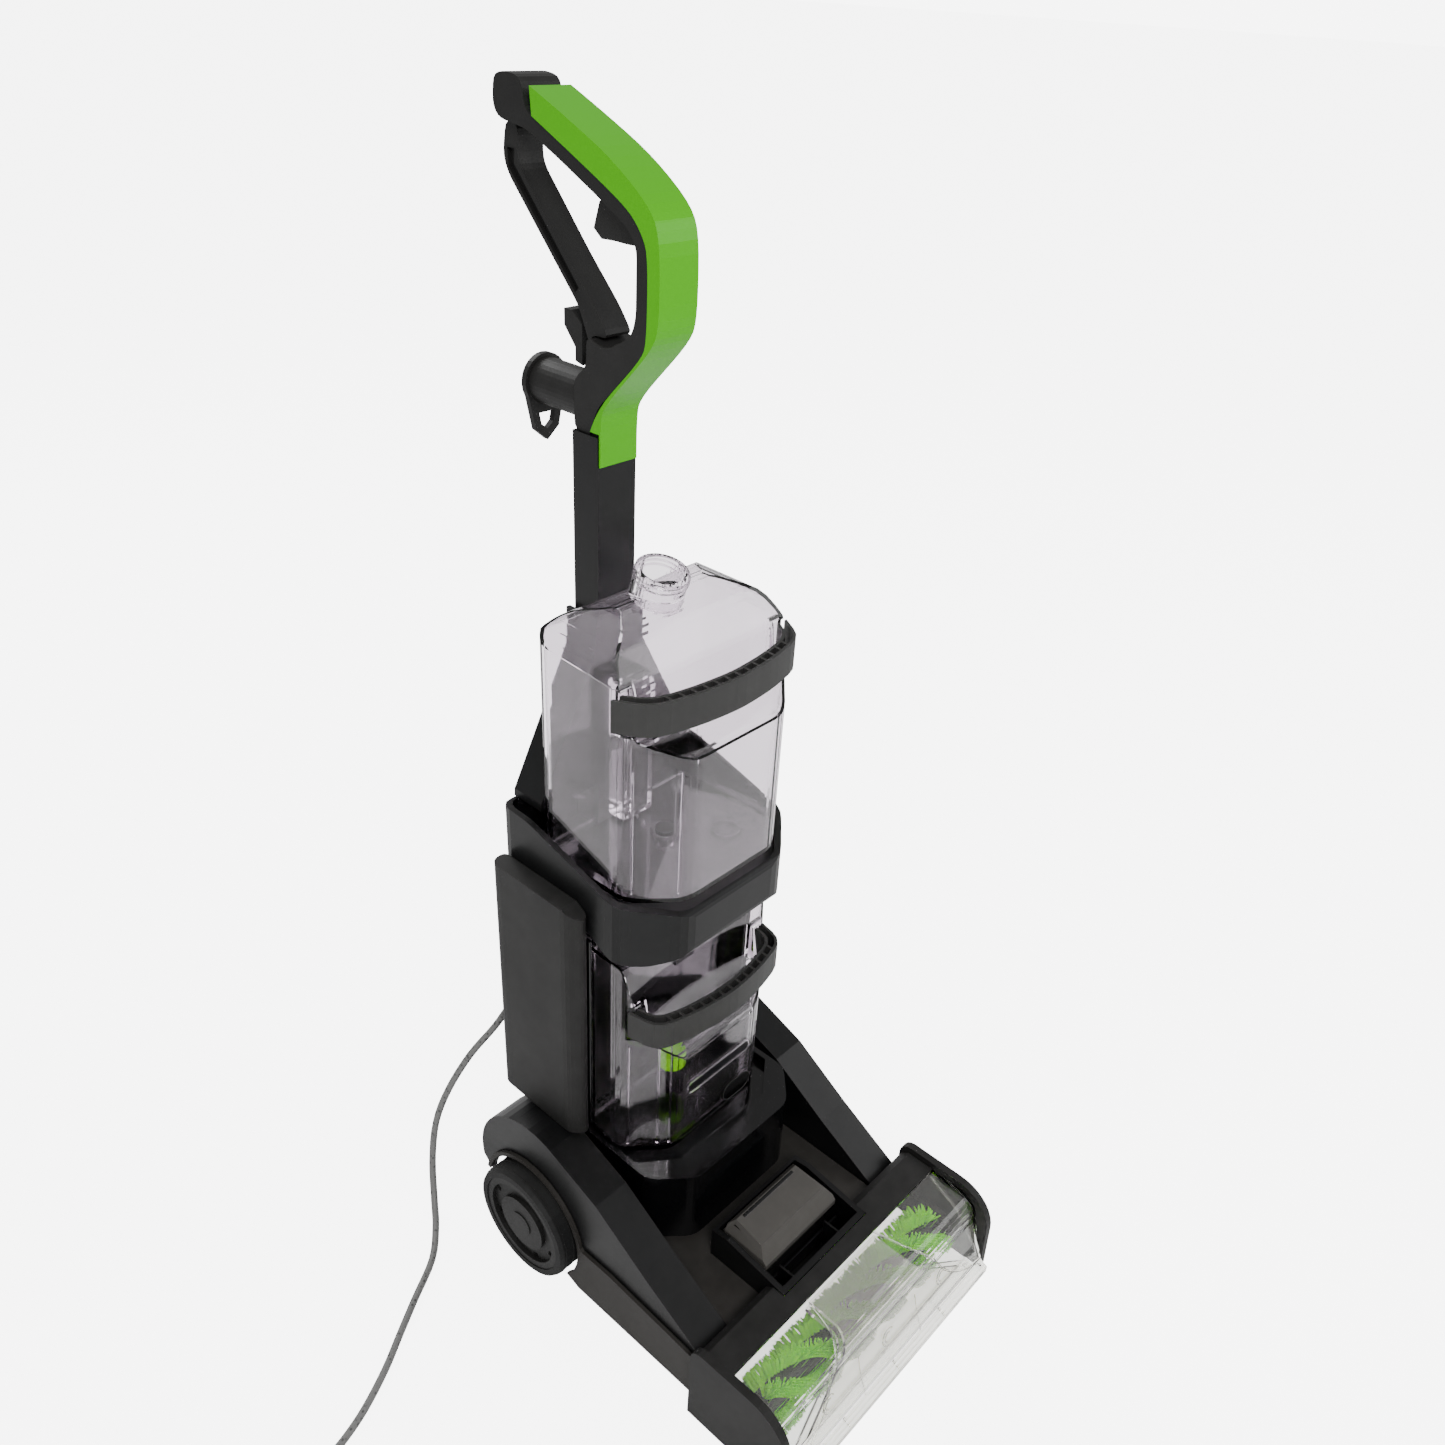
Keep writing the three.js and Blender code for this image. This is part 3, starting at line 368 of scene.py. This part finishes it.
def bristle_finish():
    finish, tree, shader = blank_finish("lime_bristle")
    place = tree.nodes.new("ShaderNodeTexCoord")
    strands = tree.nodes.new("ShaderNodeTexNoise")
    strands.inputs["Scale"].default_value = 700
    ramp = tree.nodes.new("ShaderNodeValToRGB")
    ramp.color_ramp.elements[0].color = (0.16, 0.62, 0.0, 1)
    ramp.color_ramp.elements[0].position = 0.3
    ramp.color_ramp.elements[1].color = (0.36, 1.0, 0.01, 1)
    ramp.color_ramp.elements[1].position = 0.65
    link(tree, place.outputs["Object"], strands.inputs["Vector"])
    link(tree, strands.outputs["Fac"], ramp.inputs["Fac"])
    link(tree, ramp.outputs["Color"], shader.inputs["Base Color"])
    shader.inputs["Roughness"].default_value = 0.55
    shader.inputs["Specular IOR Level"].default_value = 0.1
    shader.inputs["Subsurface Weight"].default_value = 0.1
    shader.inputs["Subsurface Radius"].default_value = (0.002, 0.004, 0.001)
    return finish


def braided_cord_finish():
    """Grey sheath with slightly darker flecks wound round it."""
    finish, tree, shader = blank_finish("flecked_cord")
    place = tree.nodes.new("ShaderNodeTexCoord")
    flecks = tree.nodes.new("ShaderNodeTexVoronoi")
    flecks.inputs["Scale"].default_value = 210
    ramp = tree.nodes.new("ShaderNodeValToRGB")
    ramp.color_ramp.elements[0].color = (0.07, 0.07, 0.07, 1)
    ramp.color_ramp.elements[0].position = 0.16
    ramp.color_ramp.elements[1].color = (0.19, 0.19, 0.185, 1)
    ramp.color_ramp.elements[1].position = 0.34
    link(tree, place.outputs["Object"], flecks.inputs["Vector"])
    link(tree, flecks.outputs["Distance"], ramp.inputs["Fac"])
    link(tree, ramp.outputs["Color"], shader.inputs["Base Color"])
    texture = use(tree, GRAIN, {"Scale": 1400, "Roughness": 0.5, "Drift": 0.1})
    link(tree, texture.outputs["Roughness"], shader.inputs["Roughness"])
    bump(tree, shader, flecks.outputs["Distance"], 0.3, 0.0004)
    return finish


def brushed_steel():
    finish, tree, shader = blank_finish("turned_steel")
    place = tree.nodes.new("ShaderNodeTexCoord")
    lines = tree.nodes.new("ShaderNodeTexWave")
    lines.inputs["Scale"].default_value = 900
    lines.inputs["Distortion"].default_value = 2
    link(tree, place.outputs["Object"], lines.inputs["Vector"])
    ramp = tree.nodes.new("ShaderNodeMapRange")
    ramp.inputs["To Min"].default_value = 0.22
    ramp.inputs["To Max"].default_value = 0.38
    link(tree, lines.outputs["Fac"], ramp.inputs["Value"])
    link(tree, ramp.outputs["Result"], shader.inputs["Roughness"])
    bump(tree, shader, lines.outputs["Fac"], 0.05, 0.0001)
    shader.inputs["Base Color"].default_value = (0.62, 0.62, 0.63, 1)
    shader.inputs["Metallic"].default_value = 1
    return finish


FINISH = {
    "black": plastic(
        "half_gloss_black",
        (0.0022, 0.0022, 0.0026),
        0.36,
        grain=0.08,
        wear=0.12,
        dust=0.01,
        pitch=900,
        coat=0.05,
    ),
    "gloss": plastic(
        "deep_gloss_black",
        (0.0012, 0.0012, 0.0016),
        0.16,
        grain=0.02,
        wear=0.08,
        dust=0.01,
        pitch=900,
        coat=0.3,
        level=0.35,
    ),
    "charcoal": plastic("charcoal_grain", (0.010, 0.0097, 0.0093), 0.52, dust=0.015),
    "skirt": plastic("warm_charcoal_grain", (0.024, 0.0215, 0.019), 0.52),
    "grey": plastic("door_grey_grain", (0.072, 0.068, 0.062), 0.5, grain=0.25),
    "green": plastic(
        "lime_gloss",
        (0.085, 0.5, 0.0),
        0.3,
        grain=0.02,
        wear=0.0,
        dust=0.0,
        pitch=900,
        coat=0.15,
        level=0.12,
    ),
    "handle_grey": plastic("bar_grey_grain", (0.034, 0.034, 0.033), 0.5, grain=0.25, dust=0.015),
    "rubber": plastic("tyre_rubber", (0.004, 0.004, 0.004), 0.62, grain=0.35, dust=0.03, pitch=700),
    "clear_tank": clear_plastic("smoky_clear", (0.80, 0.755, 0.80), 0.04, 0.05),
    "clear_nozzle": clear_plastic("nozzle_clear", (0.93, 0.925, 0.89), 0.03, 0.05),
    "bristle": bristle_finish(),
    "cord": braided_cord_finish(),
    "steel": brushed_steel(),
}

SLOT_OF = {entry["node"]: entry["material_slot"] for entry in frame["record"]["subparts"]}
# Where a node's finish or rounding differs from the usual. A left and a right one share a line.
OWN_FINISH = {"skirt": "skirt", "deck_cover": "skirt", "tank_seat": "gloss"}
USUAL_ROUNDING = 0.8
ROUNDING = {
    "handle_cover": 6.0,
    "handle_frame": 4.0,
    "handle_strut": 2.5,
    "spray_trigger": 2.5,
    "hose_hook": 2.0,
    "cord_hook": 1.2,
    "cord_post": 2.5,
    "clean_tank": 2.4,
    "dirty_tank": 2.2,
    "clean_tank_handle": 1.0,
    "dirty_tank_handle": 1.0,
    "pillar": 3.5,
    "fender": 2.0,
    "skirt": 1.4,
    "end_cap": 2.5,
    "hose_door": 2.2,
    "carry_shelf": 1.6,
    "tank_seat": 2.5,
    "rear_housing": 2.5,
    "nozzle_window": 1.0,
    "suction_duct": 0.7,
    "pole": 2.5,
    "mains_plug": 1.8,
    "tyre": 2.5,
}


def finish_nodes():
    for name, node in nodes.items():
        kind = name.removeprefix("left_").removeprefix("right_")
        for holder in node.material_slots:
            holder.material = FINISH[OWN_FINISH.get(kind, SLOT_OF[name])]
        soften(node, ROUNDING.get(kind, USUAL_ROUNDING))


finish_nodes()


# ------------------------------------------------------------------ mains cord
def catmull(points, steps):
    """A smooth curve through all the points."""
    path = []
    padded = [points[0] * 2 - points[1], *points, points[-1] * 2 - points[-2]]
    for i in range(1, len(padded) - 2):
        p0, p1, p2, p3 = padded[i - 1 : i + 3]
        for k in range(steps):
            t = k / steps
            path.append(
                0.5
                * (
                    2 * p1
                    + (p2 - p0) * t
                    + (2 * p0 - 5 * p1 + 4 * p2 - p3) * t * t
                    + (3 * p1 - p0 - 3 * p2 + p3) * t**3
                )
            )
    path.append(points[-1])
    return path


CORD_RADIUS = 3.5
# The coil's centre, its outermost turn, its lowest layer and how its turns are stacked.
COIL = {"x": -452.0, "y": -100.0, "pitch": 7.0, "outer": 62.5, "low": 4.2, "columns": 4, "layers": 4}


def coil_point(angle, radius, height):
    turn = math.radians(angle)
    return at(COIL["x"] + radius * math.cos(turn), COIL["y"] + radius * math.sin(turn), height)


def eased(t):
    """0 up to 0, 1 from 1, and a soft rise between them."""
    t = min(1.0, max(0.0, t))
    return t * t * (3 - 2 * t)


def cord_path():
    lead = [
        at(*p)
        for p in (
            (-50, 98.5, 236),
            (-50.5, 102, 235.8),
            (-62, 107, 232),
            (-80, 108, 221),
            (-99, 111, 201),
            (-125, 120, 173),
            (-147, 130, 133),
            (-162, 135, 93),
            (-174, 130, 49),
            (-188, 112, 14),
            (-202, 92, 4.8),
            (-227, 64, 4.6),
            (-265, 40, 4.6),
            (-296, 20, 4.6),
            (-325, 1, 4.6),
            (-359, -17, 4.6),
            (-386, -27, 4.6),
            (-406, -31.5, 4.6),
            (-425, -35.2, 4.6),
        )
    ]
    path = catmull(lead, 4)
    start = 95.0
    lead_angle, lead_radius, lead_height = 67.3, 69.9, 4.4
    for k in range(1, 5):
        t = k / 5
        radius = lead_radius + (COIL["outer"] - lead_radius) * eased(t)
        path.append(coil_point(lead_angle + t * (start - lead_angle), radius, lead_height))
    spots = []
    for layer in range(COIL["layers"]):
        columns = range(COIL["columns"] - 1, -1, -1) if layer % 2 == 0 else range(COIL["columns"])
        inner = COIL["outer"] - (COIL["columns"] - 1) * COIL["pitch"]
        spots += [(inner + c * COIL["pitch"], COIL["low"] + layer * COIL["pitch"]) for c in columns]
    per_turn, step_from = 36, 0.82
    for turn, (radius, height) in enumerate(spots):
        after = spots[min(turn + 1, len(spots) - 1)]
        for k in range(per_turn):
            part = k / per_turn
            shift = eased((part - step_from) / 0.18)
            out = radius + (after[0] - radius) * shift
            path.append(coil_point(start + 360 * part, out, height + (after[1] - height) * shift))
    top = spots[-1][1]
    tail_steps, tail_angle, tail_out, plug_height = 35, 270, 8.2, 10
    for k in range(tail_steps + 1):
        part = k / tail_steps
        away = eased(part / 0.35)
        drop = eased((part - 0.35) / 0.6)
        height = top + (plug_height - top) * drop
        path.append(coil_point(start + part * (tail_angle - start), COIL["outer"] + tail_out * away, height))
    path += [at(x, y, plug_height) for x, y in ((-446, -171), (-440, -171.8), (-435, -172))]
    return path


def lay_cord():
    """The cord as one tube."""
    path = cord_path()
    piece = make_piece("mains_cord", sweep(path, round_section(CORD_RADIUS, 12)), None, "cord", smooth=60)
    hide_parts("cord_lead", "cord_coil")
    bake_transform(piece)
    length = sum((b - a).length for a, b in zip(path, path[1:]))
    return piece, path, length


def tie_coil():
    """A flat strap round the bundle of turns."""
    middle = COIL["outer"] - 1.5 * COIL["pitch"]
    half_wide, half_high, corner = 14.4, 14.1, 3.0
    half_strap, thick = 5, 0.35
    base = at(COIL["x"], COIL["y"], 14.6)
    turn = math.radians(200)
    out = Vector((math.cos(turn), math.sin(turn), 0))
    along = Vector((-math.sin(turn), math.cos(turn), 0))
    loop = []
    for cx, cz, first in ((1, 1, 0), (-1, 1, 90), (-1, -1, 180), (1, -1, 270)):
        for k in range(5):
            a = math.radians(first + 22.5 * k)
            across = cx * (half_wide - corner) + corner * math.cos(a)
            loop.append((across, cz * (half_high - corner) + corner * math.sin(a)))
    verts, faces = [], []
    for r, h in loop:
        for scale in (1, 1 + thick / 14):
            for width in (-half_strap, half_strap):
                spot = base + out * ((middle + r * scale) * MM) + Vector((0, 0, h * scale * MM))
                verts.append(spot + along * (width * MM))
    count = len(loop)
    for i in range(count):
        a, b = i * 4, ((i + 1) % count) * 4
        for p, q in ((0, 1), (1, 3), (3, 2), (2, 0)):
            faces.append((a + p, a + q, b + q, b + p))
    return make_piece("cord_tie", (verts, faces), "foot", "rubber", smooth=35)


cord, cord_points, cord_length = lay_cord()
tie = tie_coil()


# ------------------------------------------------------------------ brush
BRUSH = {"y": -283.0, "z": 39.0, "half": 128.0, "core": 13.0, "tip": 29.5, "rows": 4, "turns": 1.25}


def scatter(clump, place, row):
    """A fixed spread of values from 0 to 1, so that no two strands stand alike."""
    wander = math.sin(clump * 12.9898 + place * 78.233 + row * 37.7) * 43758.5453
    return wander - math.floor(wander)


def bristle_rows():
    """Four helical rows of strands: small clumps side by side along each helix."""
    parts = []
    clumps, strands, gap = 88, 7, 0.062
    for row in range(BRUSH["rows"]):
        for i in range(clumps):
            t = (i + 0.5) / clumps
            x = -BRUSH["half"] + 2 * BRUSH["half"] * t
            phase = 2 * math.pi * (row / BRUSH["rows"] + t * BRUSH["turns"])
            for s in range(strands):
                wander = scatter(i, s, row)
                off = (s - (strands - 1) / 2) * gap
                angle = phase + off
                lean = angle + (off * 0.9 + (wander - 0.5) * 0.12)
                root_r, tip_r = BRUSH["core"] - 0.5, BRUSH["tip"] - 2.2 * wander
                root = (x + (wander - 0.5) * 1.5, root_r * math.cos(angle), root_r * math.sin(angle))
                tip = (x + (wander - 0.5) * 4.5, tip_r * math.cos(lean), tip_r * math.sin(lean))
                parts.append(strand(root, tip, 1.15))
    return joined(parts)


def strand(root, tip, radius):
    """One three-sided bristle that thins towards its tip."""
    base = at(root[0], BRUSH["y"] + root[1], BRUSH["z"] + root[2])
    point = at(tip[0], BRUSH["y"] + tip[1], BRUSH["z"] + tip[2])
    along = (point - base).normalized()
    side = along.orthogonal().normalized()
    other = along.cross(side)
    verts = []
    for spot, width in ((base, radius), (point, radius * 0.7)):
        for k in range(3):
            a = 2 * math.pi * k / 3
            verts.append(spot + (side * math.cos(a) + other * math.sin(a)) * (width * MM))
    return verts, [(0, 1, 4, 3), (1, 2, 5, 4), (2, 0, 3, 5), (3, 4, 5), (0, 2, 1)]


def brush_core():
    """The turned core, with a collar near each end and a spindle past it."""
    length, spindle, waist = BRUSH["half"] + 6, 152, 12.2
    half = [
        (0, spindle),
        (4, spindle),
        (4, length),
        (11, length),
        (BRUSH["core"], length - 2),
        (BRUSH["core"], length - 5),
        (waist, length - 5.5),
    ]
    profile = [(r, -h) for r, h in half] + half[::-1]
    return turned(profile, at(0, BRUSH["y"], BRUSH["z"]), (1, 0, 0), 40)


bristles = make_piece("brush_bristles", bristle_rows(), "brush", "bristle", smooth=0)
make_piece("brush_core", brush_core(), "brush", "black")
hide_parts("brush_roll")


# ------------------------------------------------------------------ fill neck threads
def neck_threads():
    """Two raised turns round the fill neck, which leans forwards."""
    tilt, radius, lap_rise, turn_rise, steps = math.radians(15), 22.1, 4.2, 3.0, 48
    axis = Vector((0, -math.sin(tilt), math.cos(tilt)))
    side = Vector((1, 0, 0))
    front = axis.cross(side)
    foot = at(0, -4, 690)
    parts = []
    for lap in range(2):
        path = []
        for k in range(steps + 1):
            a = 2 * math.pi * k / steps
            rise = 6.5 + lap * lap_rise + turn_rise * k / steps
            out = side * math.cos(a) + front * math.sin(a)
            path.append(foot + out * (radius * MM) + axis * (rise * MM))
        parts.append(sweep(path, round_section(0.9, 6)))
    return joined(parts)


make_piece("neck_thread", neck_threads(), "clean", "clear_tank")


# ------------------------------------------------------------------ clear nozzle details
# The outside of the clear nozzle as (y, z), from its rear edge down its front to the flange.
NOZZLE_FRONT = [
    (-264, 90),
    (-290, 90),
    (-304, 88.6),
    (-313, 83),
    (-319, 75),
    (-320, 66),
    (-324, 51),
    (-328, 36),
    (-333, 24),
    (-336, 16),
]
# The bead round a lobe, from the middle outwards: how far across, and how far down the front.
LOBE_EDGE = [
    (50, 0.0),
    (58, 0.16),
    (69, 0.34),
    (76, 0.46),
    (82, 0.56),
    (92, 0.68),
    (108, 0.8),
    (128, 0.9),
    (147, 0.96),
]


def window_skin(x, spot):
    """A point on the outside of the clear nozzle: 0 at its rear edge, 1 at the top of the flange."""
    where = spot * (len(NOZZLE_FRONT) - 1)
    low = min(int(where), len(NOZZLE_FRONT) - 2)
    part = where - low
    (y, z), (next_y, next_z) = NOZZLE_FRONT[low : low + 2]
    return at(x, y + (next_y - y) * part, z + (next_z - z) * part)


def lobe_beads():
    parts = []
    for side in (-1, 1):
        knots = [window_skin(side * x, spot) for x, spot in LOBE_EDGE]
        parts.append(sweep(catmull(knots, 4), round_section(1.1, 8)))
    for x in (-44, 44):
        parts.append(sweep([window_skin(x, 0.62 + 0.38 * k / 8) for k in range(9)], round_section(0.6, 6)))
    return joined(parts)


def crescent_bosses():
    """Two nested crescents at three places on the sloping front."""
    parts = []
    slope, steps = 0.27, 14
    for x in (-88, 0, 88):
        for radius, first, last in ((8.5, 40, 250), (5.0, 60, 230)):
            path = []
            for k in range(steps + 1):
                a = math.radians(first + (last - first) * k / steps)
                rise = radius * math.sin(a)
                path.append(at(x + radius * math.cos(a), -325.6 + rise * slope, 44 + rise))
            parts.append(sweep(path, round_section(0.9, 6)))
    return joined(parts)


def flange_ridges():
    """Three long ridges on the flange and three short ones that cross them."""
    parts = []
    for y, z in ((-337.2, 15.2), (-340.6, 13.8), (-343.2, 12.2)):
        parts.append(sweep([at(-150 + 300 * k / 24, y, z) for k in range(25)], round_section(1.0, 8)))
    for x in (-75, 0, 75):
        path = [at(x, -334 - 9 * k / 4, 16.6 - 4 * k / 4) for k in range(5)]
        parts.append(sweep(path, round_section(1.3, 8)))
    return joined(parts)


make_piece("nozzle_beads", lobe_beads(), "foot", "clear_nozzle")
make_piece("nozzle_bosses", crescent_bosses(), "foot", "clear_nozzle")
make_piece("nozzle_ridges", flange_ridges(), "foot", "clear_nozzle")


# ------------------------------------------------------------------ tank details
def stadium(half_x, half_z, centre, steps=10):
    """A closed slot outline standing in the XZ plane."""
    x, y, z = centre
    path = []
    for sign, first in ((1, -90), (-1, 90)):
        for k in range(steps + 1):
            a = math.radians(first + 180 * k / steps)
            path.append(at(x + sign * (half_x - half_z) + half_z * math.cos(a), y, z + half_z * math.sin(a)))
    return path


def ring_on_face(path, radius):
    """A round bead that follows a closed outline on a face that looks forwards."""
    verts, faces = [], []
    count, sides = len(path), 8
    for i, point in enumerate(path):
        along = (path[(i + 1) % count] - path[i - 1]).normalized()
        out = Vector((0, -1, 0))
        side = along.cross(out).normalized()
        for k in range(sides):
            a = 2 * math.pi * k / sides
            verts.append(point + (side * math.cos(a) + out * math.sin(a)) * (radius * MM))
    for i in range(count):
        a, b = i * sides, ((i + 1) % count) * sides
        for k in range(sides):
            faces.append((a + k, a + (k + 1) % sides, b + (k + 1) % sides, b + k))
    return verts, faces


def filled_face(path, depth):
    """A closed outline filled in, and given a little thickness towards the back."""
    count = len(path)
    verts = list(path) + [p + Vector((0, depth * MM, 0)) for p in path]
    faces = [tuple(range(count)), tuple(range(2 * count - 1, count - 1, -1))]
    faces += [(i, (i + 1) % count, count + (i + 1) % count, count + i) for i in range(count)]
    return verts, faces


SLOT_CENTRE = (0, -99.4, 229)
PLATE_OUTLINE = stadium(19, 11, (28, -99.6, 181), 8)
make_piece("tank_slot_rim", ring_on_face(stadium(43, 6.5, SLOT_CENTRE), 1.1), "dirty", "clear_tank")
slot_floor = filled_face(stadium(41.5, 5.0, (0, -99.5, 229)), 0.35)
make_piece("tank_slot_floor", slot_floor, "dirty", "black", bevel=0.12)
make_piece("front_plate", filled_face(PLATE_OUTLINE, 0.5), "dirty", "gloss", bevel=0.2)
make_piece("front_plate_rim", ring_on_face(PLATE_OUTLINE, 0.6), "dirty", "charcoal")


def tank_ribs(low, high, columns):
    """Upright ribs moulded inside a tank's chamfered front corners."""
    parts = []
    for x, y in columns:
        for sign in (-1, 1):
            path = [at(sign * x, y, low + (high - low) * k / 6) for k in range(7)]
            parts.append(sweep(path, round_section(0.9, 8)))
    return joined(parts)


make_piece("dirty_tank_ribs", tank_ribs(166, 292, ((58, -92), (66, -84.5), (86, -66))), "dirty", "clear_tank")
make_piece("clean_tank_ribs", tank_ribs(466, 584, ((58, -92), (86, -66))), "clean", "clear_tank")


def tank_channel():
    """The upright channel moulded into the back of the clean tank."""
    outline = [(-17, 12), (17, 12), (19, 33.5), (-19, 33.5)]
    verts = []
    for z, inset in ((461.4, 0), (590, 0), (602, 3)):
        verts += [at(x * (1 - inset / 20), y + inset, z) for x, y in outline]
    faces = [(3, 2, 1, 0), (8, 9, 10, 11)]
    for a in (0, 4):
        faces += [(a + k, a + (k + 1) % 4, a + 4 + (k + 1) % 4, a + 4 + k) for k in range(4)]
    return verts, faces


def floor_rings():
    """The raised seats round the two openings in the clean tank's floor."""
    low, high = 461.2, 464
    profile = [(11, low), (11, high), (12.4, high + 0.4), (13.6, high), (13.6, low)]
    return joined([turned(profile, at(x, y, 0), (0, 0, 1), 36) for x, y in ((42, -52), (0, -20))])


make_piece("tank_channel", tank_channel(), "clean", "clear_tank", bevel=5, segments=4)
make_piece("floor_rings", floor_rings(), "clean", "clear_tank")


# ------------------------------------------------------------------ housing details
def pillar_strips():
    """A glossy inlay down the outside of each pillar."""
    parts = []
    for sign in (-1, 1):
        inner, outer = sorted((sign * 100.4, sign * 104.0))
        parts.append(slab(inner, outer, -35, -1, 181, 405))
    return joined(parts)


make_piece("pillar_strips", pillar_strips(), "upright", "gloss", bevel=1.2)


def screw_heads():
    """Domed screw heads in the back of the housing."""
    profile = [(0, 76.0), (1.2, 76.0), (1.6, 77.0), (3.6, 77.4), (4.2, 76.8), (4.2, 75.6)]
    spots = [(x, z) for x in (-92, 92) for z in (190, 300, 412)]
    return joined([turned(profile, at(x, 0, z), (0, 1, 0), 20) for x, z in spots])


make_piece("housing_screws", screw_heads(), "upright", "steel")


def trigger_lip():
    """The rounded lip along the trigger's lower edge."""
    steps = 8
    path = [at(0, 16 + 34 * k / steps, 939.4 - math.sin(math.pi * k / steps)) for k in range(steps + 1)]
    return sweep(path, oval_section(6, 1.6, 12))


make_piece("trigger_lip", trigger_lip(), "trigger", "charcoal")


# ------------------------------------------------------------------ foot details
def painted_slot_shade():
    """A dark oval strip along the rear of the door's top: painted shade laid where the finger slot's recess
    is, instead of a cut slot.
    """
    path = [at(-36 + 72 * k / 12, -172.5, 109.75) for k in range(13)]
    return sweep(path, oval_section(1.7, 0.45, 12))


# Painted shade: a thin gloss-black strip stands in for the shaded recess of the finger slot.
make_piece("painted_slot_shade", painted_slot_shade(), "door", "gloss")


def wheel_arches():
    """A curved liner behind each wheel, which closes the foot above the tyre."""
    parts = []
    inner, outer, wheel_height = 24.0, 64.6, 60
    first, turn, steps = -14, 208, 40
    for sign in (-1, 1):
        verts, faces = [], []
        for k in range(steps + 1):
            a = math.radians(first + turn * k / steps)
            for x in (128.2, 130.4):
                for radius in (inner, outer):
                    verts.append(at(sign * x, radius * math.cos(a), wheel_height + radius * math.sin(a)))
        for k in range(steps):
            b, n = 4 * k, 4 * k + 4
            faces += [(b, b + 1, n + 1, n), (b + 2, n + 2, n + 3, b + 3)]
            faces += [(b + 1, b + 3, n + 3, n + 1), (b, n, n + 2, b + 2)]
        end = 4 * steps
        faces += [(0, 2, 3, 1), (end, end + 1, end + 3, end + 2)]
        parts.append((verts, faces))
    return joined(parts)


make_piece("arch_liners", wheel_arches(), "foot", "black")


def duct_ribs():
    """Thin upright ribs in the open front of the hose frame, and the wall behind them."""
    parts = [slab(x - 1.2, x + 1.2, -238.5, -218, 48.5, 79) for x in (-34, 34)]
    parts.append(slab(-55.4, 55.4, -218.6, -216.4, 48.5, 66))
    return joined(parts)


make_piece("duct_ribs", duct_ribs(), "foot", "black", bevel=0.5)


# ------------------------------------------------------------------ wheel details
def tread_bands(sign):
    """Three raised bands round a tyre."""
    low, high = 59.4, 60.35
    parts = []
    for offset in (-9, 0, 9):
        profile = [(low, offset - 1.0), (high, offset - 0.5), (high, offset + 0.5), (low, offset + 1.0)]
        parts.append(turned(profile, at(sign * 149, 0, 60), (1, 0, 0), 72))
    return joined(parts)


for label, sign in (("left", -1), ("right", 1)):
    make_piece(f"{label}_tread", tread_bands(sign), f"{label}_wheel", "rubber")


# ------------------------------------------------------------------ studio
def seen_directly(tree, otherwise, value):
    """One strength for what is looked at, straight or through clear plastic, and another for its light."""
    path = tree.nodes.new("ShaderNodeLightPath")
    looked_at = path.outputs["Is Camera Ray"]
    through = math_node(tree, "MULTIPLY", path.outputs["Is Transmission Ray"], 0.3)
    strength = tree.nodes.new("ShaderNodeMapRange")
    strength.inputs["To Min"].default_value = otherwise
    strength.inputs["To Max"].default_value = value
    link(tree, math_node(tree, "MAXIMUM", looked_at, through), strength.inputs["Value"])
    return strength.outputs["Result"]


def studio():
    floor_mesh = bpy.data.meshes.new("studio_floor")
    far = 60
    corners = [(-far, -far, 0), (far, -far, 0), (far, far, 0), (-far, far, 0)]
    floor_mesh.from_pydata(corners, [], [(0, 1, 2, 3)])
    floor = bpy.data.objects.new("studio_floor", floor_mesh)
    bpy.context.scene.collection.objects.link(floor)
    pale, tree, shader = blank_finish("pale_floor")
    shader.inputs["Base Color"].default_value = (0.95, 0.95, 0.95, 1)
    shader.inputs["Roughness"].default_value = 0.9
    shader.inputs["Emission Color"].default_value = (1, 1, 1, 1)
    link(tree, seen_directly(tree, 0.05, 6.0), shader.inputs["Emission Strength"])
    floor.data.materials.append(pale)
    world = bpy.data.worlds.new("studio_world")
    world.use_nodes = True
    sky = world.node_tree
    link(sky, seen_directly(sky, 0.45, 7.0), sky.nodes["Background"].inputs["Strength"])
    sky.nodes["Background"].inputs["Color"].default_value = (1, 1, 1, 1)
    bpy.context.scene.world = world
    aim = Vector((0, 0, 0.5))
    for name, spot, size, power in (
        ("key_light", (-1.3, -1.6, 2.4), 1.0, 52),
        ("fill_light", (2.0, -1.4, 1.6), 1.6, 16),
        ("back_light", (0.4, 2.4, 2.2), 1.2, 30),
    ):
        lamp = bpy.data.lights.new(name, "AREA")
        lamp.shape = "DISK"
        lamp.size = size
        lamp.energy = power
        holder = bpy.data.objects.new(name, lamp)
        holder.location = spot
        holder.rotation_euler = (aim - Vector(spot)).to_track_quat("-Z", "Y").to_euler()
        bpy.context.scene.collection.objects.link(holder)


studio()

bpy.context.view_layer.update()
